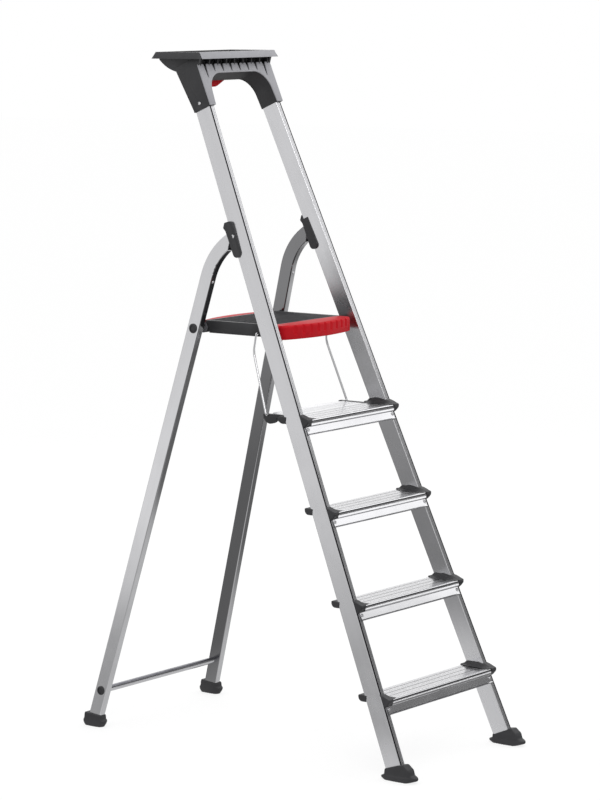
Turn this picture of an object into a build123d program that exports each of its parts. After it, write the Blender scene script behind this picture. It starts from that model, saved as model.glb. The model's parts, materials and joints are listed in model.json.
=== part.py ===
from build123d import *
import os
from math import atan, atan2, cos, hypot, radians, sin, tan

# Platform step ladder, millimetres. +X is the climber's right, +Y points from the climbing side to the
# rear legs, +Z is up. While the parts are shaped, y is measured from the point where the front line of
# the stiles meets the floor; MID_DEPTH moves the origin to the middle of the footprint at the end.
MID_DEPTH = 540.5

# Front stiles: box tubes that lean back and draw together towards the top.
STILE_SLOPE = 0.4162            # y per z of the stile's front line
STILE_DEPTH = 51.1
STILE_WIDTH = 19.5
STILE_LINES = (-9.0, -12.0, -16.4)  # fine lines on the front face, from the outer corner
STILE_WALL = 2.3
STILE_HALF = 259.0              # half-width over the stiles at the floor
STILE_TAPER = 0.0606            # half-width lost per mm of height
STILE_TOP = 1960.0              # length along the front line
STILE_FOOT_GAP = 7.0            # height of the stile's lower end above the floor

# Treads.
FIRST_TREAD = 208.1
TREAD_PITCH = 235.0
TREAD_COUNT = 4
TREAD_DEPTH = 70.3              # behind the stile's front line
NOSE = 23.4                     # in front of the stile's front line
SKIRT_HEIGHT = 41.0
TREAD_WALL = 2.4
TREAD_GROOVES = (               # grooves along the top, as (y, width)
    (-14.0, 1.4), (-9.0, 1.0), (-5.0, 1.0), (-1.0, 1.0), (5.0, 2.6), (11.0, 1.0), (15.0, 1.0), (19.0, 1.0),
    (23.0, 1.0), (29.0, 2.6), (35.0, 1.0), (39.0, 1.0), (43.0, 1.0), (47.0, 1.0), (53.0, 2.6), (59.0, 1.0),
    (63.0, 1.0),
)
SHELF_HALF = 160.0              # rear shelf of the top tread
SHELF_FLANGE = 18.0
BRACKET_X = 173.5               # outer face of the stay brackets

# Rear legs: box tubes bent forward to the hinge.
LEG_REAR = 1097.4               # y of the leg's rear edge at the floor
LEG_SLOPE = 0.2856
LEG_DEPTH = 39.8
LEG_WIDTH = 21.4
LEG_WALL = 1.6
LEG_HALF = 266.1
LEG_TAPER = 0.0634
LEG_BEND_RADIUS = 170.0
LEG_FOOT_GAP = 9.0
FOLD_ANGLE = 37.5               # the rear legs swing this far forward to fold

# Hinge between stile and rear leg, as (y, z).
HINGE = (624.3, 1384.0)
HINGE_APPROACH = 35.0           # the bent tube end rises at this angle to the hinge
HINGE_PIN_R = 4.95
RUNNING_GAP = 0.05
TONGUE_WIDTH = 12.0
TONGUE_HEIGHT = 28.0
SADDLE_SKIN = 3.6               # the cover's thickness on the stile at the pin

# Platform.
PLATFORM_TOP = 1150.3
PLATFORM_HALF = 150.6
PLATFORM_SKIRT = 33.5
PLATFORM_FRONT = 515.0          # joint between the deck and the front nosing
PLATFORM_REAR = 745.0           # joint between the deck and the rear nosing
MAT_DEPTH = 2.2
MAT_HALF = 139.0
MAT_FRONT = 522.0
MAT_REAR = 738.0
BOSS_R = 15.0
BUSH_R = 13.0
BOSS_X = (118.0, 150.6)
AXLE = (752.0, 1131.0)
AXLE_R = 10.0
AXLE_BORE_R = 8.2
BRACE = (1046.4, 104.0)
BRACE_R = 9.0

# Stays: bent wires that carry the platform's front end.
STAY_R = 3.0
STAY_FOOT = (514.0, 911.0)
STAY_HEAD = (565.0, 1126.0)
STAY_KNEE = (570.0, 1075.0)
STAY_FOOT_X = 179.5
STAY_HEAD_X = 154.6
NOTCH_R = 3.7                   # seat of the stay's head in the platform's skirt

# Tool tray and its bracket.
TRAY_HALF = 174.0
TRAY_FRONT = 738.0
TRAY_REAR = 910.5
TRAY_RIM_LOW = 1854.0
TRAY_RIM_HIGH = 1872.0
TRAY_FLARE = 9.0                # the rim spreads this far from its top to its foot
TRAY_FLOOR = 1818.0
TRAY_WALL = 3.0
BASIN_HALF = 152.0
BRACKET_LOW = 1874.0            # along the stile
BRACKET_SKIN = 4.0
BRACKET_HALF_LOW = 157.6
BRACKET_HALF_HIGH = 156.4
BRACKET_REAR = 54.0
PANEL_TOP = 1990.0
FINGERS = 9
FINGER_PITCH = 36.3
HOOK_PIVOT = (831.0, 1811.0)
HOOK_PIN_R = 2.5

LEAN = atan(STILE_SLOPE)
SIN, COS = sin(LEAN), cos(LEAN)


def from_stile(s, t):
    """Side-view (y, z) of a point s along the stile's front line and t behind it."""
    return (s * SIN + t * COS, s * COS - t * SIN)


def on_stile(y, z):
    """Side-view distances along and behind the stile's front line."""
    return (y * SIN + z * COS, y * COS - z * SIN)


def stile_outer(z):
    return STILE_HALF - STILE_TAPER * z


def stile_inner(z):
    return stile_outer(z) - STILE_WIDTH


def leg_outer(z):
    return LEG_HALF - LEG_TAPER * z


def leg_inner(z):
    return leg_outer(z) - LEG_WIDTH


def front_line(z):
    return STILE_SLOPE * z


def tread_height(index):
    return FIRST_TREAD + TREAD_PITCH * index


def side(sketch, x_from, x_to):
    """A side-view sketch (y, z) made solid between two values of x."""
    return extrude(Plane.YZ.offset(x_from) * sketch, amount=x_to - x_from)


def cross_bar(centre, radius, x_from, x_to):
    """A round bar along X through a side-view point."""
    return side(Pos(*centre) * Circle(radius), x_from, x_to)


def outline(*points):
    return make_face(Polyline(*points, close=True))


def stile_points(*points):
    """A side-view face from (s, t) points."""
    return outline(*[from_stile(s, t) for s, t in points])


def mirrored(solid):
    return mirror(solid, about=Plane.YZ)


def one_solid(shape):
    """The largest solid of a result, dropping slivers left by a cut."""
    return max(shape.solids(), key=lambda solid: solid.volume)


def save(name, solids):
    group = solids if isinstance(solids, list) else [solids]
    moved = [Pos(0, -MID_DEPTH, 0) * solid for solid in group]
    shape = moved[0] if len(moved) == 1 else Compound(children=moved)
    export_step(shape, f"parts/{name}.step")


# ---------------------------------------------------------------- stiles
STILE_K = STILE_TAPER * COS
STILE_PLANE = Plane(
    origin=(STILE_HALF, 0, 0),
    x_dir=(1, STILE_K * SIN, STILE_K * COS),
    z_dir=(-STILE_K, SIN, COS),
)


def stile_block():
    """The right stile as a full bar, used to fit other parts round it."""
    profile = Pos(-STILE_WIDTH / 2, STILE_DEPTH / 2) * Rectangle(STILE_WIDTH, STILE_DEPTH)
    return extrude(STILE_PLANE * profile, amount=STILE_TOP) - below_floor(STILE_FOOT_GAP)


def below_floor(height):
    return Pos(0, 0, height - 200) * Box(1200, 4000, 400)


def make_stile(hinge_pin, rivets, screw):
    outer = RectangleRounded(STILE_WIDTH, STILE_DEPTH, 2.2)
    inner = RectangleRounded(STILE_WIDTH - 2 * STILE_WALL, STILE_DEPTH - 2 * STILE_WALL, 1.0)
    profile = Pos(-STILE_WIDTH / 2, STILE_DEPTH / 2) * (outer - inner)
    profile -= Pos(-3.1, 0) * Rectangle(2.6, 2.6)
    for groove in STILE_LINES:
        profile -= Pos(groove, 0) * Rectangle(1.0, 1.6)
    stile = extrude(STILE_PLANE * profile, amount=STILE_TOP) - below_floor(STILE_FOOT_GAP)
    cavity = STILE_WIDTH - 2 * STILE_WALL
    mid_x = stile_outer(HINGE[1]) - STILE_WIDTH / 2
    notch = stile_points((1478, 40), (1478, 60), (1538, 60), (1538, 40))
    stile -= side(notch, mid_x - cavity / 2, mid_x + cavity / 2)
    return one_solid(stile - hinge_pin - rivets - screw)


# ---------------------------------------------------------------- treads
def skirt_front():
    """Front line of the skirt, from under the nose to the lip at its foot."""
    return [(-11.0, -19.5), (-18.9, -37.8), (-21.6, -38.6), (-22.6, -39.8), (-22.0, -SKIRT_HEIGHT)]


def tread_profile():
    """Thin-walled tread section: ribbed top, beaded nose, skirt on the stile's front and rear flange."""
    foot = STILE_SLOPE * -SKIRT_HEIGHT
    front = (
        Polyline((TREAD_DEPTH, -16), (TREAD_DEPTH, 0), (-19.4, 0))
        + ThreePointArc((-19.4, 0), (-22.2, -0.9), (-23.0, -2.8))
        + Polyline((-23.0, -2.8), (-21.2, -3.6), (-21.2, -5.0), (-NOSE, -5.6), (-22.2, -15.2))
        + ThreePointArc((-22.2, -15.2), (-21.4, -17.2), (-19.4, -18.0))
        + Polyline((-19.4, -18.0), *skirt_front(), (foot, -SKIRT_HEIGHT))
        + Polyline(
            (foot, -SKIRT_HEIGHT), (-8.1, -19.5), (-9.2, -17.4), (-18.6, -15.6), (-19.6, -13.0), (-18.8, -5.4),
            (-16.5, -TREAD_WALL), (TREAD_DEPTH - TREAD_WALL, -TREAD_WALL), (TREAD_DEPTH - TREAD_WALL, -16),
            (TREAD_DEPTH, -16),
        )
    )
    section = make_face(front)
    for y, width in TREAD_GROOVES:
        section -= Pos(y, 0) * Rectangle(width, 1.6)
    return section


def skirt_profile():
    foot = STILE_SLOPE * -SKIRT_HEIGHT
    top = STILE_SLOPE * -19.5
    return outline(*skirt_front(), (foot, -SKIRT_HEIGHT), (top, -19.5))


def make_tread(index, stiles, rivets):
    z = tread_height(index)
    origin = Pos(front_line(z), z)
    body = side(origin * tread_profile(), -stile_inner(z), stile_inner(z))
    skirt = side(origin * skirt_profile(), 10 - stile_outer(z), stile_outer(z) - 10)
    return one_solid(body + skirt - stiles - rivets)


def shelf_face(inset):
    """Plan outline of the top tread's rear shelf, inset from its outer edge."""
    front = front_line(tread_height(TREAD_COUNT - 1)) + TREAD_DEPTH + inset
    x, bulge = SHELF_HALF - inset, -inset
    right = ThreePointArc((x, 497), (x - 7, 512 + bulge), (x - 27, 522.5 + bulge))
    left = ThreePointArc((27 - x, 522.5 + bulge), (7 - x, 512 + bulge), (-x, 497))
    rear = ThreePointArc((x - 27, 522.5 + bulge), (0, 534 + bulge), (27 - x, 522.5 + bulge))
    return make_face(right + rear + left + Polyline((-x, 497), (-x, front), (x, front), (x, 497)))


def make_shelf():
    """Rear part of the top tread, with a bulging rear edge and a turned-down rim."""
    z = tread_height(TREAD_COUNT - 1)
    y = front_line(z) + TREAD_DEPTH
    face = shelf_face(0)
    solid = extrude(face, amount=-TREAD_WALL) + extrude(face - shelf_face(TREAD_WALL), amount=-SHELF_FLANGE)
    for line in range(6):
        solid -= Pos(0, y + 8 + 8 * line, 0) * Box(2 * SHELF_HALF - 16, 1.8, 1.4)
    return one_solid(Pos(0, 0, z) * solid)


def rivet(s, x, length, head_r=4.6, shank_r=2.4):
    """A blind rivet through the skirt and the stile's front wall."""
    y, z = from_stile(s, -2.9)
    plane = Plane(origin=(x, y, z), x_dir=(1, 0, 0), z_dir=(0, -COS, SIN))
    head = plane * Cylinder(head_r, 1.6, align=(Align.CENTER, Align.CENTER, Align.MIN))
    shank = plane * Cylinder(shank_r, length, align=(Align.CENTER, Align.CENTER, Align.MAX))
    return head + shank


def tread_rivets():
    """Right-hand rivets, one for each tread."""
    result = []
    for index in range(TREAD_COUNT):
        z = tread_height(index) - 29.5
        s, _ = on_stile(front_line(z), z)
        result.append(rivet(s, stile_outer(z) - 17.0, 9.0))
    return result


def make_cap(index, stile, tread, rivets):
    """Black end cover of a tread: lump before the stile, saddle on the tread, bump behind the stile."""
    z = tread_height(index)
    y = front_line(z)
    s, _ = on_stile(y, z)
    outer, inner = stile_outer(z), stile_inner(z)
    nose = make_face(
        ThreePointArc((17.5, 0), (10.5, -11.5), (-3, -20.5))
        + ThreePointArc((-3, -20.5), (-13.0, -23.0), (-20.0, -16.0))
        + ThreePointArc((-20.0, -16.0), (-24.0, -8.0), (-25.5, 0))
        + Line((-25.5, 0), (17.5, 0))
    )
    flip = Plane(origin=(0, *from_stile(s, 0)), x_dir=(0, SIN, COS), z_dir=(-1, 0, 0))
    lump = extrude(flip.offset(-(outer + 1.0)) * nose, amount=21.5)
    cross = make_face(
        Polyline((4, 0), (-22, 0), (-22, 1.4))
        + ThreePointArc((-22, 1.4), (-8, 6.0), (-2.5, 15.0))
        + Polyline((-2.5, 15.0), (0, 17.5), (4, 17.5), (4, 0))
    )
    strip = extrude(Plane.XZ.offset(-(y - 24)) * (Pos(inner, z) * cross), amount=-99)
    arch = make_face(
        Polyline((64, 0), (64, 3))
        + ThreePointArc((64, 3), (59, 11), (48, 15.6))
        + ThreePointArc((48, 15.6), (16, 15.8), (-8, 9.5))
        + Polyline((-8, 9.5), (-23, 3.5), (-23, 0), (64, 0))
    )
    strip = strip & side(Pos(y, z) * arch, inner - 30, inner + 10)
    bump = make_face(
        Polyline((48, 3), (75, 3), (75, -3))
        + ThreePointArc((75, -3), (71.5, -11.5), (63, -15))
        + Polyline((63, -15), (48, -15), (48, 3))
    )
    rear = side(Pos(y, z) * bump, inner - 8, outer + 0.6)
    return one_solid(lump + strip + rear - stile - tread - rivets)


def make_stay_bracket(cap, tread, shelf):
    """Black end piece under the top tread's shelf: a half-round for the stay's foot, and an arm."""
    z = tread_height(TREAD_COUNT - 1) + 0.8
    y = STAY_FOOT[0] - 8.0
    half = make_face(
        ThreePointArc((y + 22.5, z), (y, z - 25.5), (y - 22.5, z)) + Line((y - 22.5, z), (y + 22.5, z))
    )
    start = front_line(z) + 62
    arm = make_face(
        Polyline((start, z), (y, z), (y, z - 10), (y - 24, z - 8))
        + ThreePointArc((y - 24, z - 8), (y - 34, z - 20), (y - 48, z - 22))
        + Polyline((y - 48, z - 22), (start, z - 22), (start, z))
    )
    solid = side(half, SHELF_HALF, BRACKET_X) + side(arm, SHELF_HALF, BRACKET_X)
    solid -= cross_bar(STAY_FOOT, STAY_R + RUNNING_GAP, 150, 190)
    return one_solid(solid - cap - tread - shelf)


# ---------------------------------------------------------------- feet
def plan_block(x, y, width, length, corner):
    """A tall block with rounded upright edges, used to round a part in plan."""
    return extrude(Pos(x, y) * RectangleRounded(width, length, corner), amount=60)


def make_front_foot(stile):
    profile = make_face(
        Polyline((-8, 0), (72, 0), (84, 5), (84, 9), (71, 14), (66, 30), (5, 50), (-9, 38), (-17, 20), (-30, 15))
        + ThreePointArc((-30, 15), (-32, 11), (-29, 7))
        + Polyline((-29, 7), (-8, 0))
    )
    foot = side(profile, 235.5, 263.5) & plan_block(249.5, 26.5, 28.0, 117.0, 13.0)
    brim = outline((-8, 0), (72, 0), (84, 5), (84, 9), (71, 13), (-28, 14), (-31, 10))
    foot += side(brim, 231.5, 267.0) & plan_block(249.25, 26.5, 35.5, 117.0, 16.0)
    for groove in range(7):
        foot -= Pos(249, 2 + 10 * groove, 0) * Box(60, 2.5, 3.0)
    return one_solid(foot - stile)


def make_rear_foot(leg):
    profile = outline(
        (1034, 0), (1106, 0), (1113, 8), (1113, 14), (1104, 22), (1099, 39), (1046, 34), (1040, 22), (1028, 16),
        (1027, 10),
    )
    foot = side(profile, 240.8, 270.0) & plan_block(255.4, 1070.0, 29.2, 86.0, 9.0)
    for groove in range(6):
        foot -= Pos(255, 1044 + 10 * groove, 0) * Box(60, 2.5, 3.0)
    return one_solid(foot - leg)


# ---------------------------------------------------------------- rear legs
def unit(vector):
    size = hypot(*vector)
    return (vector[0] / size, vector[1] / size)


def along(point, direction, distance):
    return (point[0] + direction[0] * distance, point[1] + direction[1] * distance)


LEG_UP = unit((-LEG_SLOPE, 1))
LEG_BACK = (LEG_UP[1], -LEG_UP[0])
TOP_UP = (-cos(radians(HINGE_APPROACH)), sin(radians(HINGE_APPROACH)))
TOP_BACK = (TOP_UP[1], -TOP_UP[0])
LEG_TURN = atan2(*reversed(TOP_UP)) - atan2(*reversed(LEG_UP))


def leg_corner():
    """Where the straight leg's centre line meets the line through the hinge."""
    start = (LEG_REAR - LEG_DEPTH / 2 / LEG_UP[1], 0)
    cross = LEG_UP[0] * TOP_UP[1] - LEG_UP[1] * TOP_UP[0]
    gap = (HINGE[0] - start[0], HINGE[1] - start[1])
    distance = (gap[0] * TOP_UP[1] - gap[1] * TOP_UP[0]) / cross
    return along(start, LEG_UP, distance), start


def leg_band(half):
    """Side-view face of the bent leg, half wide on each side of its centre line."""
    corner, start = leg_corner()
    tangent = LEG_BEND_RADIUS * tan(LEG_TURN / 2)
    low, high = along(corner, LEG_UP, -tangent), along(corner, TOP_UP, tangent)
    centre = along(low, LEG_BACK, -LEG_BEND_RADIUS)
    middle = unit((LEG_BACK[0] + TOP_BACK[0], LEG_BACK[1] + TOP_BACK[1]))
    edges = []
    for sign in (1, -1):
        offset_by = sign * half
        points = [
            along(along(start, LEG_UP, -30), LEG_BACK, offset_by),
            along(low, LEG_BACK, offset_by),
            along(centre, middle, LEG_BEND_RADIUS + offset_by),
            along(high, TOP_BACK, offset_by),
            along(HINGE, TOP_BACK, offset_by),
        ]
        edges.append(points)
    rear, front = edges
    return make_face(
        Line(rear[0], rear[1])
        + ThreePointArc(rear[1], rear[2], rear[3])
        + Polyline(rear[3], rear[4], front[4], front[3])
        + ThreePointArc(front[3], front[2], front[1])
        + Polyline(front[1], front[0], rear[0])
    )


def leg_solid(half_depth, half_width):
    plane = Plane(origin=(LEG_HALF - LEG_WIDTH / 2, 0, 0), x_dir=(0, 1, 0), z_dir=(1, 0, LEG_TAPER))
    return extrude(plane * leg_band(half_depth), amount=half_width, both=True)


def stile_keepout():
    """The stile's body as the leg meets it, open and folded."""
    rear = STILE_DEPTH + 0.6
    zone = side(stile_points((1380, -30), (1380, rear), (1700, rear), (1700, -30)), 120, 220)
    axis = Axis((0, *HINGE), (1, 0, 0))
    return zone, zone.rotate(axis, FOLD_ANGLE)


def make_leg(bars):
    outer = leg_solid(LEG_DEPTH / 2, LEG_WIDTH / 2)
    outer = fillet(outer.edges().filter_by(lambda edge: edge.length > 50), 3.0)
    leg = outer - leg_solid(LEG_DEPTH / 2 - LEG_WALL, LEG_WIDTH / 2 - LEG_WALL) - below_floor(LEG_FOOT_GAP)
    for zone in stile_keepout():
        leg -= zone
    return one_solid(leg - bars)


def make_tongue(leg, hinge_pin_space):
    """Hinge insert: a flat tongue on the pin, with a block that fills the tube's end."""
    centre_x = stile_outer(HINGE[1]) - STILE_WIDTH / 2 - 0.5
    half = TONGUE_HEIGHT / 2
    root = along(HINGE, TOP_UP, -60)
    plate = outline(
        along(HINGE, TOP_BACK, half), along(root, TOP_BACK, half),
        along(root, TOP_BACK, -half), along(HINGE, TOP_BACK, -half),
    )
    plate += Pos(*HINGE) * Circle(half)
    tongue = side(plate, centre_x - TONGUE_WIDTH / 2, centre_x + TONGUE_WIDTH / 2)
    block_front = along(HINGE, TOP_UP, -40)
    block = outline(
        along(block_front, TOP_BACK, half), along(root, TOP_BACK, half),
        along(root, TOP_BACK, -half), along(block_front, TOP_BACK, -half),
    )
    cavity = leg_solid(LEG_DEPTH / 2 - LEG_WALL, LEG_WIDTH / 2 - LEG_WALL)
    tongue += side(block, centre_x - 20, centre_x + 20) & cavity
    return one_solid(tongue - leg - hinge_pin_space)


def make_saddle(stile, hinge_pin):
    """Black cover that straddles the stile at the hinge; the leg's end turns between its cheeks."""
    z = HINGE[1]
    low_x, high_x = stile_inner(z) - 2.8, leg_outer(z) + 5.0
    cheek = make_face(
        Polyline(from_stile(1470, 33.5), from_stile(1550, 33.5))
        + ThreePointArc(from_stile(1550, 33.5), from_stile(1557, 37), from_stile(1560, 44))
        + Polyline(from_stile(1560, 44), from_stile(1560, 54), from_stile(1549, 63), from_stile(1538, 59))
        + Polyline(from_stile(1538, 59), from_stile(1470, 59))
        + ThreePointArc(from_stile(1470, 59), from_stile(1459, 46), from_stile(1470, 33.5))
    )
    across = Plane(origin=(0, *from_stile(1440, 0)), x_dir=(1, 0, 0), z_dir=(0, SIN, COS))
    proud = stile_outer(z)
    girth = make_face(Polyline(
        (low_x, 20), (proud + 2.6, 20), (proud + SADDLE_SKIN, STILE_DEPTH - 10), (high_x, STILE_DEPTH - 2),
        (high_x, 80), (low_x, 80), close=True
    ))
    saddle = side(cheek, low_x, high_x) & extrude(across * girth, amount=140)
    slot = stile_points((1440, STILE_DEPTH), (1440, 80), (1540, 80), (1540, STILE_DEPTH))
    saddle -= side(slot, leg_inner(z) - 1.2, leg_outer(z) + 3.4)
    return one_solid(saddle - stile - hinge_pin)


def make_hinge_pin():
    """Pin through both cheeks, with a low domed head outside and a blind end inside."""
    z = HINGE[1]
    head_x = stile_outer(z) + SADDLE_SKIN
    pin = cross_bar(HINGE, HINGE_PIN_R, stile_inner(z) - 1.6, head_x)
    head = cross_bar(HINGE, 5.6, head_x - 1.4, head_x + 1.8)
    return pin + fillet(head.edges().filter_by(GeomType.CIRCLE).sort_by(Axis.X)[-1:], 1.4)


def make_cross_tube(centre, radius, bore):
    x = leg_outer(centre[1]) - 1.0
    return cross_bar(centre, radius, -x, x) - cross_bar(centre, bore, -x, x)


def make_plug(centre, radius, bore, tube, leg):
    """Round cover that closes a cross tube on the leg's outer face."""
    x = leg_outer(centre[1])
    head = cross_bar(centre, radius, x - 2.5, x + 2.4)
    head = fillet(head.edges().filter_by(GeomType.CIRCLE).sort_by(Axis.X)[-1:], 1.6)
    return one_solid(head + cross_bar(centre, bore, x - 16, x) - leg - tube)


def make_leg_rivet():
    """Small rivet on the front face of the leg, below the bend."""
    corner, start = leg_corner()
    point = along(along(start, LEG_UP, (1262.6 - start[1]) / LEG_UP[1]), LEG_BACK, -LEG_DEPTH / 2)
    x = (leg_outer(point[1]) + leg_inner(point[1])) / 2
    plane = Plane(origin=(x, *point), x_dir=(1, 0, 0), z_dir=(0, -LEG_BACK[0], -LEG_BACK[1]))
    head = plane * Cylinder(3.6, 1.6, align=(Align.CENTER, Align.CENTER, Align.MIN))
    return head + plane * Cylinder(2.0, 8.0, align=(Align.CENTER, Align.CENTER, Align.MAX))


# ---------------------------------------------------------------- platform
def plan_box(x_half, y_from, y_to, z_from, z_to):
    return Pos(0, (y_from + y_to) / 2, (z_from + z_to) / 2) * Box(2 * x_half, y_to - y_from, z_to - z_from)



def stay_notch():
    """Open-bottomed seat for the stay's head; its slant follows the head as the platform lifts."""
    head = STAY_HEAD
    way = unit((19.0, -30.0))
    across = (-way[1], way[0])
    far = along(head, way, 40.0)
    path = outline(
        along(head, across, NOTCH_R), along(far, across, NOTCH_R),
        along(far, across, -NOTCH_R), along(head, across, -NOTCH_R),
    )
    return path + Pos(*head) * Circle(NOTCH_R)


def make_deck():
    low = PLATFORM_TOP - PLATFORM_SKIRT
    deck = plan_box(PLATFORM_HALF, PLATFORM_FRONT, PLATFORM_REAR, low, PLATFORM_TOP)
    deck -= plan_box(PLATFORM_HALF - 3.2, PLATFORM_FRONT + 3, 728, low - 1, PLATFORM_TOP - 6)
    deck -= plan_box(PLATFORM_HALF + 1, 731, PLATFORM_REAR + 1, low - 1, PLATFORM_TOP - 6)
    for y in (590.0, 660.0):
        deck += plan_box(PLATFORM_HALF - 2, y, y + 3, low + 8, PLATFORM_TOP - 5)
    for x in (-60.0, 0.0, 60.0):
        deck += Pos(x, 0, 0) * plan_box(1.5, PLATFORM_FRONT + 2, 729, low + 8, PLATFORM_TOP - 5)
    for sign in (1, -1):
        near, far = (BOSS_X if sign > 0 else (-BOSS_X[1], -BOSS_X[0]))
        web = outline(
            (726, low + 4), (AXLE[0], AXLE[1] - BOSS_R), (AXLE[0], PLATFORM_TOP - 5), (726, PLATFORM_TOP - 5)
        )
        boss = cross_bar(AXLE, BOSS_R, near, far) + side(web, near, far)
        deck += boss
        deck -= cross_bar(AXLE, BUSH_R, near - 1, far + 1)
    deck -= plan_box(MAT_HALF, MAT_FRONT, MAT_REAR, PLATFORM_TOP - MAT_DEPTH, PLATFORM_TOP + 5)
    deck -= side(stay_notch(), -170, -130) + side(stay_notch(), 130, 170)
    top = plan_box(PLATFORM_HALF, PLATFORM_FRONT, PLATFORM_REAR, low, PLATFORM_TOP)
    bosses = cross_bar(AXLE, BOSS_R, *BOSS_X) + cross_bar(AXLE, BOSS_R, -BOSS_X[1], -BOSS_X[0])
    return one_solid(deck & (top + bosses))


def make_bush():
    bush = cross_bar(AXLE, BUSH_R, *BOSS_X) + cross_bar(AXLE, BOSS_R, BOSS_X[1], BOSS_X[1] + 2.4)
    return one_solid(bush - cross_bar(AXLE, AXLE_R + RUNNING_GAP, 100, 170))


def make_mat():
    low = PLATFORM_TOP - MAT_DEPTH
    mat = plan_box(MAT_HALF, MAT_FRONT, MAT_REAR, low, PLATFORM_TOP - 0.9)
    count = 26
    pitch = (MAT_REAR - MAT_FRONT - 4) / count
    for rib in range(count):
        y = MAT_FRONT + 4 + rib * pitch
        mat += plan_box(MAT_HALF - 3, y, y + 3.4, low, PLATFORM_TOP + 0.3)
    return mat


def make_front_nosing():
    low = PLATFORM_TOP - 38.0
    front = ThreePointArc((-PLATFORM_HALF, 478), (0, 451), (PLATFORM_HALF, 478))
    edge = Polyline((PLATFORM_HALF, 478), (PLATFORM_HALF, PLATFORM_FRONT), (-PLATFORM_HALF, PLATFORM_FRONT),
                    (-PLATFORM_HALF, 478))
    face = make_face(front + edge)
    plan = fillet(face.vertices().sort_by(Axis.Y)[:2], 16.0)
    solid = Pos(0, 0, low) * extrude(plan, amount=38.0)
    rim = solid.edges().filter_by(GeomType.CIRCLE).group_by(Axis.Z)[-1]
    solid = fillet(rim, 7.0)
    for flute in range(9):
        x = 28.0 * (flute - 4)
        y = 451 + 27 * (x / PLATFORM_HALF) ** 2
        solid -= Pos(x, y - 3.2, PLATFORM_TOP - 8) * Cylinder(6.5, 30)
    hollow = offset(face, -3.2, kind=Kind.INTERSECTION)
    solid -= Pos(0, 3.0, low - 1) * extrude(hollow, amount=38.0 - 2.4 - 6)
    return one_solid(solid)


def make_rear_nosing():
    low = PLATFORM_TOP - 27.0
    rear = ThreePointArc((-PLATFORM_HALF, 752), (0, 778), (PLATFORM_HALF, 752))
    edge = Polyline((PLATFORM_HALF, 752), (PLATFORM_HALF, PLATFORM_REAR), (-PLATFORM_HALF, PLATFORM_REAR),
                    (-PLATFORM_HALF, 752))
    face = make_face(rear + edge)
    solid = Pos(0, 0, low) * extrude(face, amount=27.0)
    solid = fillet(solid.edges().filter_by(GeomType.CIRCLE).sort_by(Axis.Z)[-1:], 4.0)
    inner = make_face(
        ThreePointArc((-PLATFORM_HALF - 8, 748), (0, 774.5), (PLATFORM_HALF + 8, 748))
        + Polyline((PLATFORM_HALF + 8, 748), (PLATFORM_HALF + 8, 740), (-PLATFORM_HALF - 8, 740),
                   (-PLATFORM_HALF - 8, 748))
    )
    solid -= Pos(0, 0, low - 1) * extrude(inner, amount=23.0)
    solid -= cross_bar(AXLE, BOSS_R + 0.5, -160, 160)
    return one_solid(solid)


# ---------------------------------------------------------------- stays
def make_stay():
    """Bent wire: a foot turning in the bracket, a knee, and a head that seats in the platform's notch."""
    knee_share = (STAY_KNEE[1] - STAY_FOOT[1]) / (STAY_HEAD[1] - STAY_FOOT[1])
    knee_x = STAY_FOOT_X + (STAY_HEAD_X - STAY_FOOT_X) * knee_share
    points = [
        (SHELF_HALF + 1, *STAY_FOOT),
        (STAY_FOOT_X, *STAY_FOOT),
        (knee_x, *STAY_KNEE),
        (STAY_HEAD_X, *STAY_HEAD),
        (PLATFORM_HALF - 8, *STAY_HEAD),
    ]
    path = FilletPolyline(*points, radius=[5.0, 60.0, 4.2])
    start = Plane(origin=points[0], z_dir=(1, 0, 0))
    return sweep(start * Circle(STAY_R), path=path)


# ---------------------------------------------------------------- tray
def belly(inset):
    """Side-view face of the tray's basin, inset from its outer skin."""
    return make_face(
        Polyline((773 + inset, 1874), (896 - inset, 1874), (896 - inset, 1851))
        + ThreePointArc((896 - inset, 1851), (866, 1829 + inset), (832, TRAY_FLOOR + inset))
        + Polyline((832, TRAY_FLOOR + inset), (773 + inset, TRAY_FLOOR + inset), (773 + inset, 1874))
    )


def make_tray(stiles, hook_space):
    rim_low = Plane.XY.offset(TRAY_RIM_LOW) * (
        Pos(0, (TRAY_FRONT + TRAY_REAR) / 2) * RectangleRounded(2 * TRAY_HALF, TRAY_REAR - TRAY_FRONT, 10)
    )
    rim_high = Plane.XY.offset(TRAY_RIM_HIGH) * (
        Pos(0, (TRAY_FRONT + TRAY_REAR) / 2)
        * RectangleRounded(2 * (TRAY_HALF - TRAY_FLARE), TRAY_REAR - TRAY_FRONT - 2 * TRAY_FLARE, 7)
    )
    tray = loft([rim_low.faces()[0], rim_high.faces()[0]])
    tray -= plan_box(TRAY_HALF - 13, TRAY_FRONT + 12.5, TRAY_REAR - 12.5, TRAY_RIM_LOW - 1, TRAY_RIM_HIGH - 6)
    shell = side(belly(0), -BASIN_HALF, BASIN_HALF) & Pos(0, 0, TRAY_RIM_HIGH - 103) * Box(900, 4000, 200)
    tray += shell
    tray -= side(belly(TRAY_WALL), TRAY_WALL - BASIN_HALF, BASIN_HALF - TRAY_WALL)
    for hole in range(8):
        for sign in (1, -1):
            tray -= Pos(sign * (BASIN_HALF + 5.5), 790 + 13 * hole, TRAY_RIM_HIGH) * Cylinder(2.2, 20)
    for sign in (1, -1):
        ear = outline((HOOK_PIVOT[0] - 7, 1822), (HOOK_PIVOT[0] - 6, 1807), (HOOK_PIVOT[0] + 6, 1807),
                      (HOOK_PIVOT[0] + 10, 1826))
        ear = side(ear, 30, 34) if sign > 0 else side(ear, -34, -30)
        tray += ear - side(belly(TRAY_WALL), -100, 100)
    return one_solid(tray - stiles - hook_space)


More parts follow.
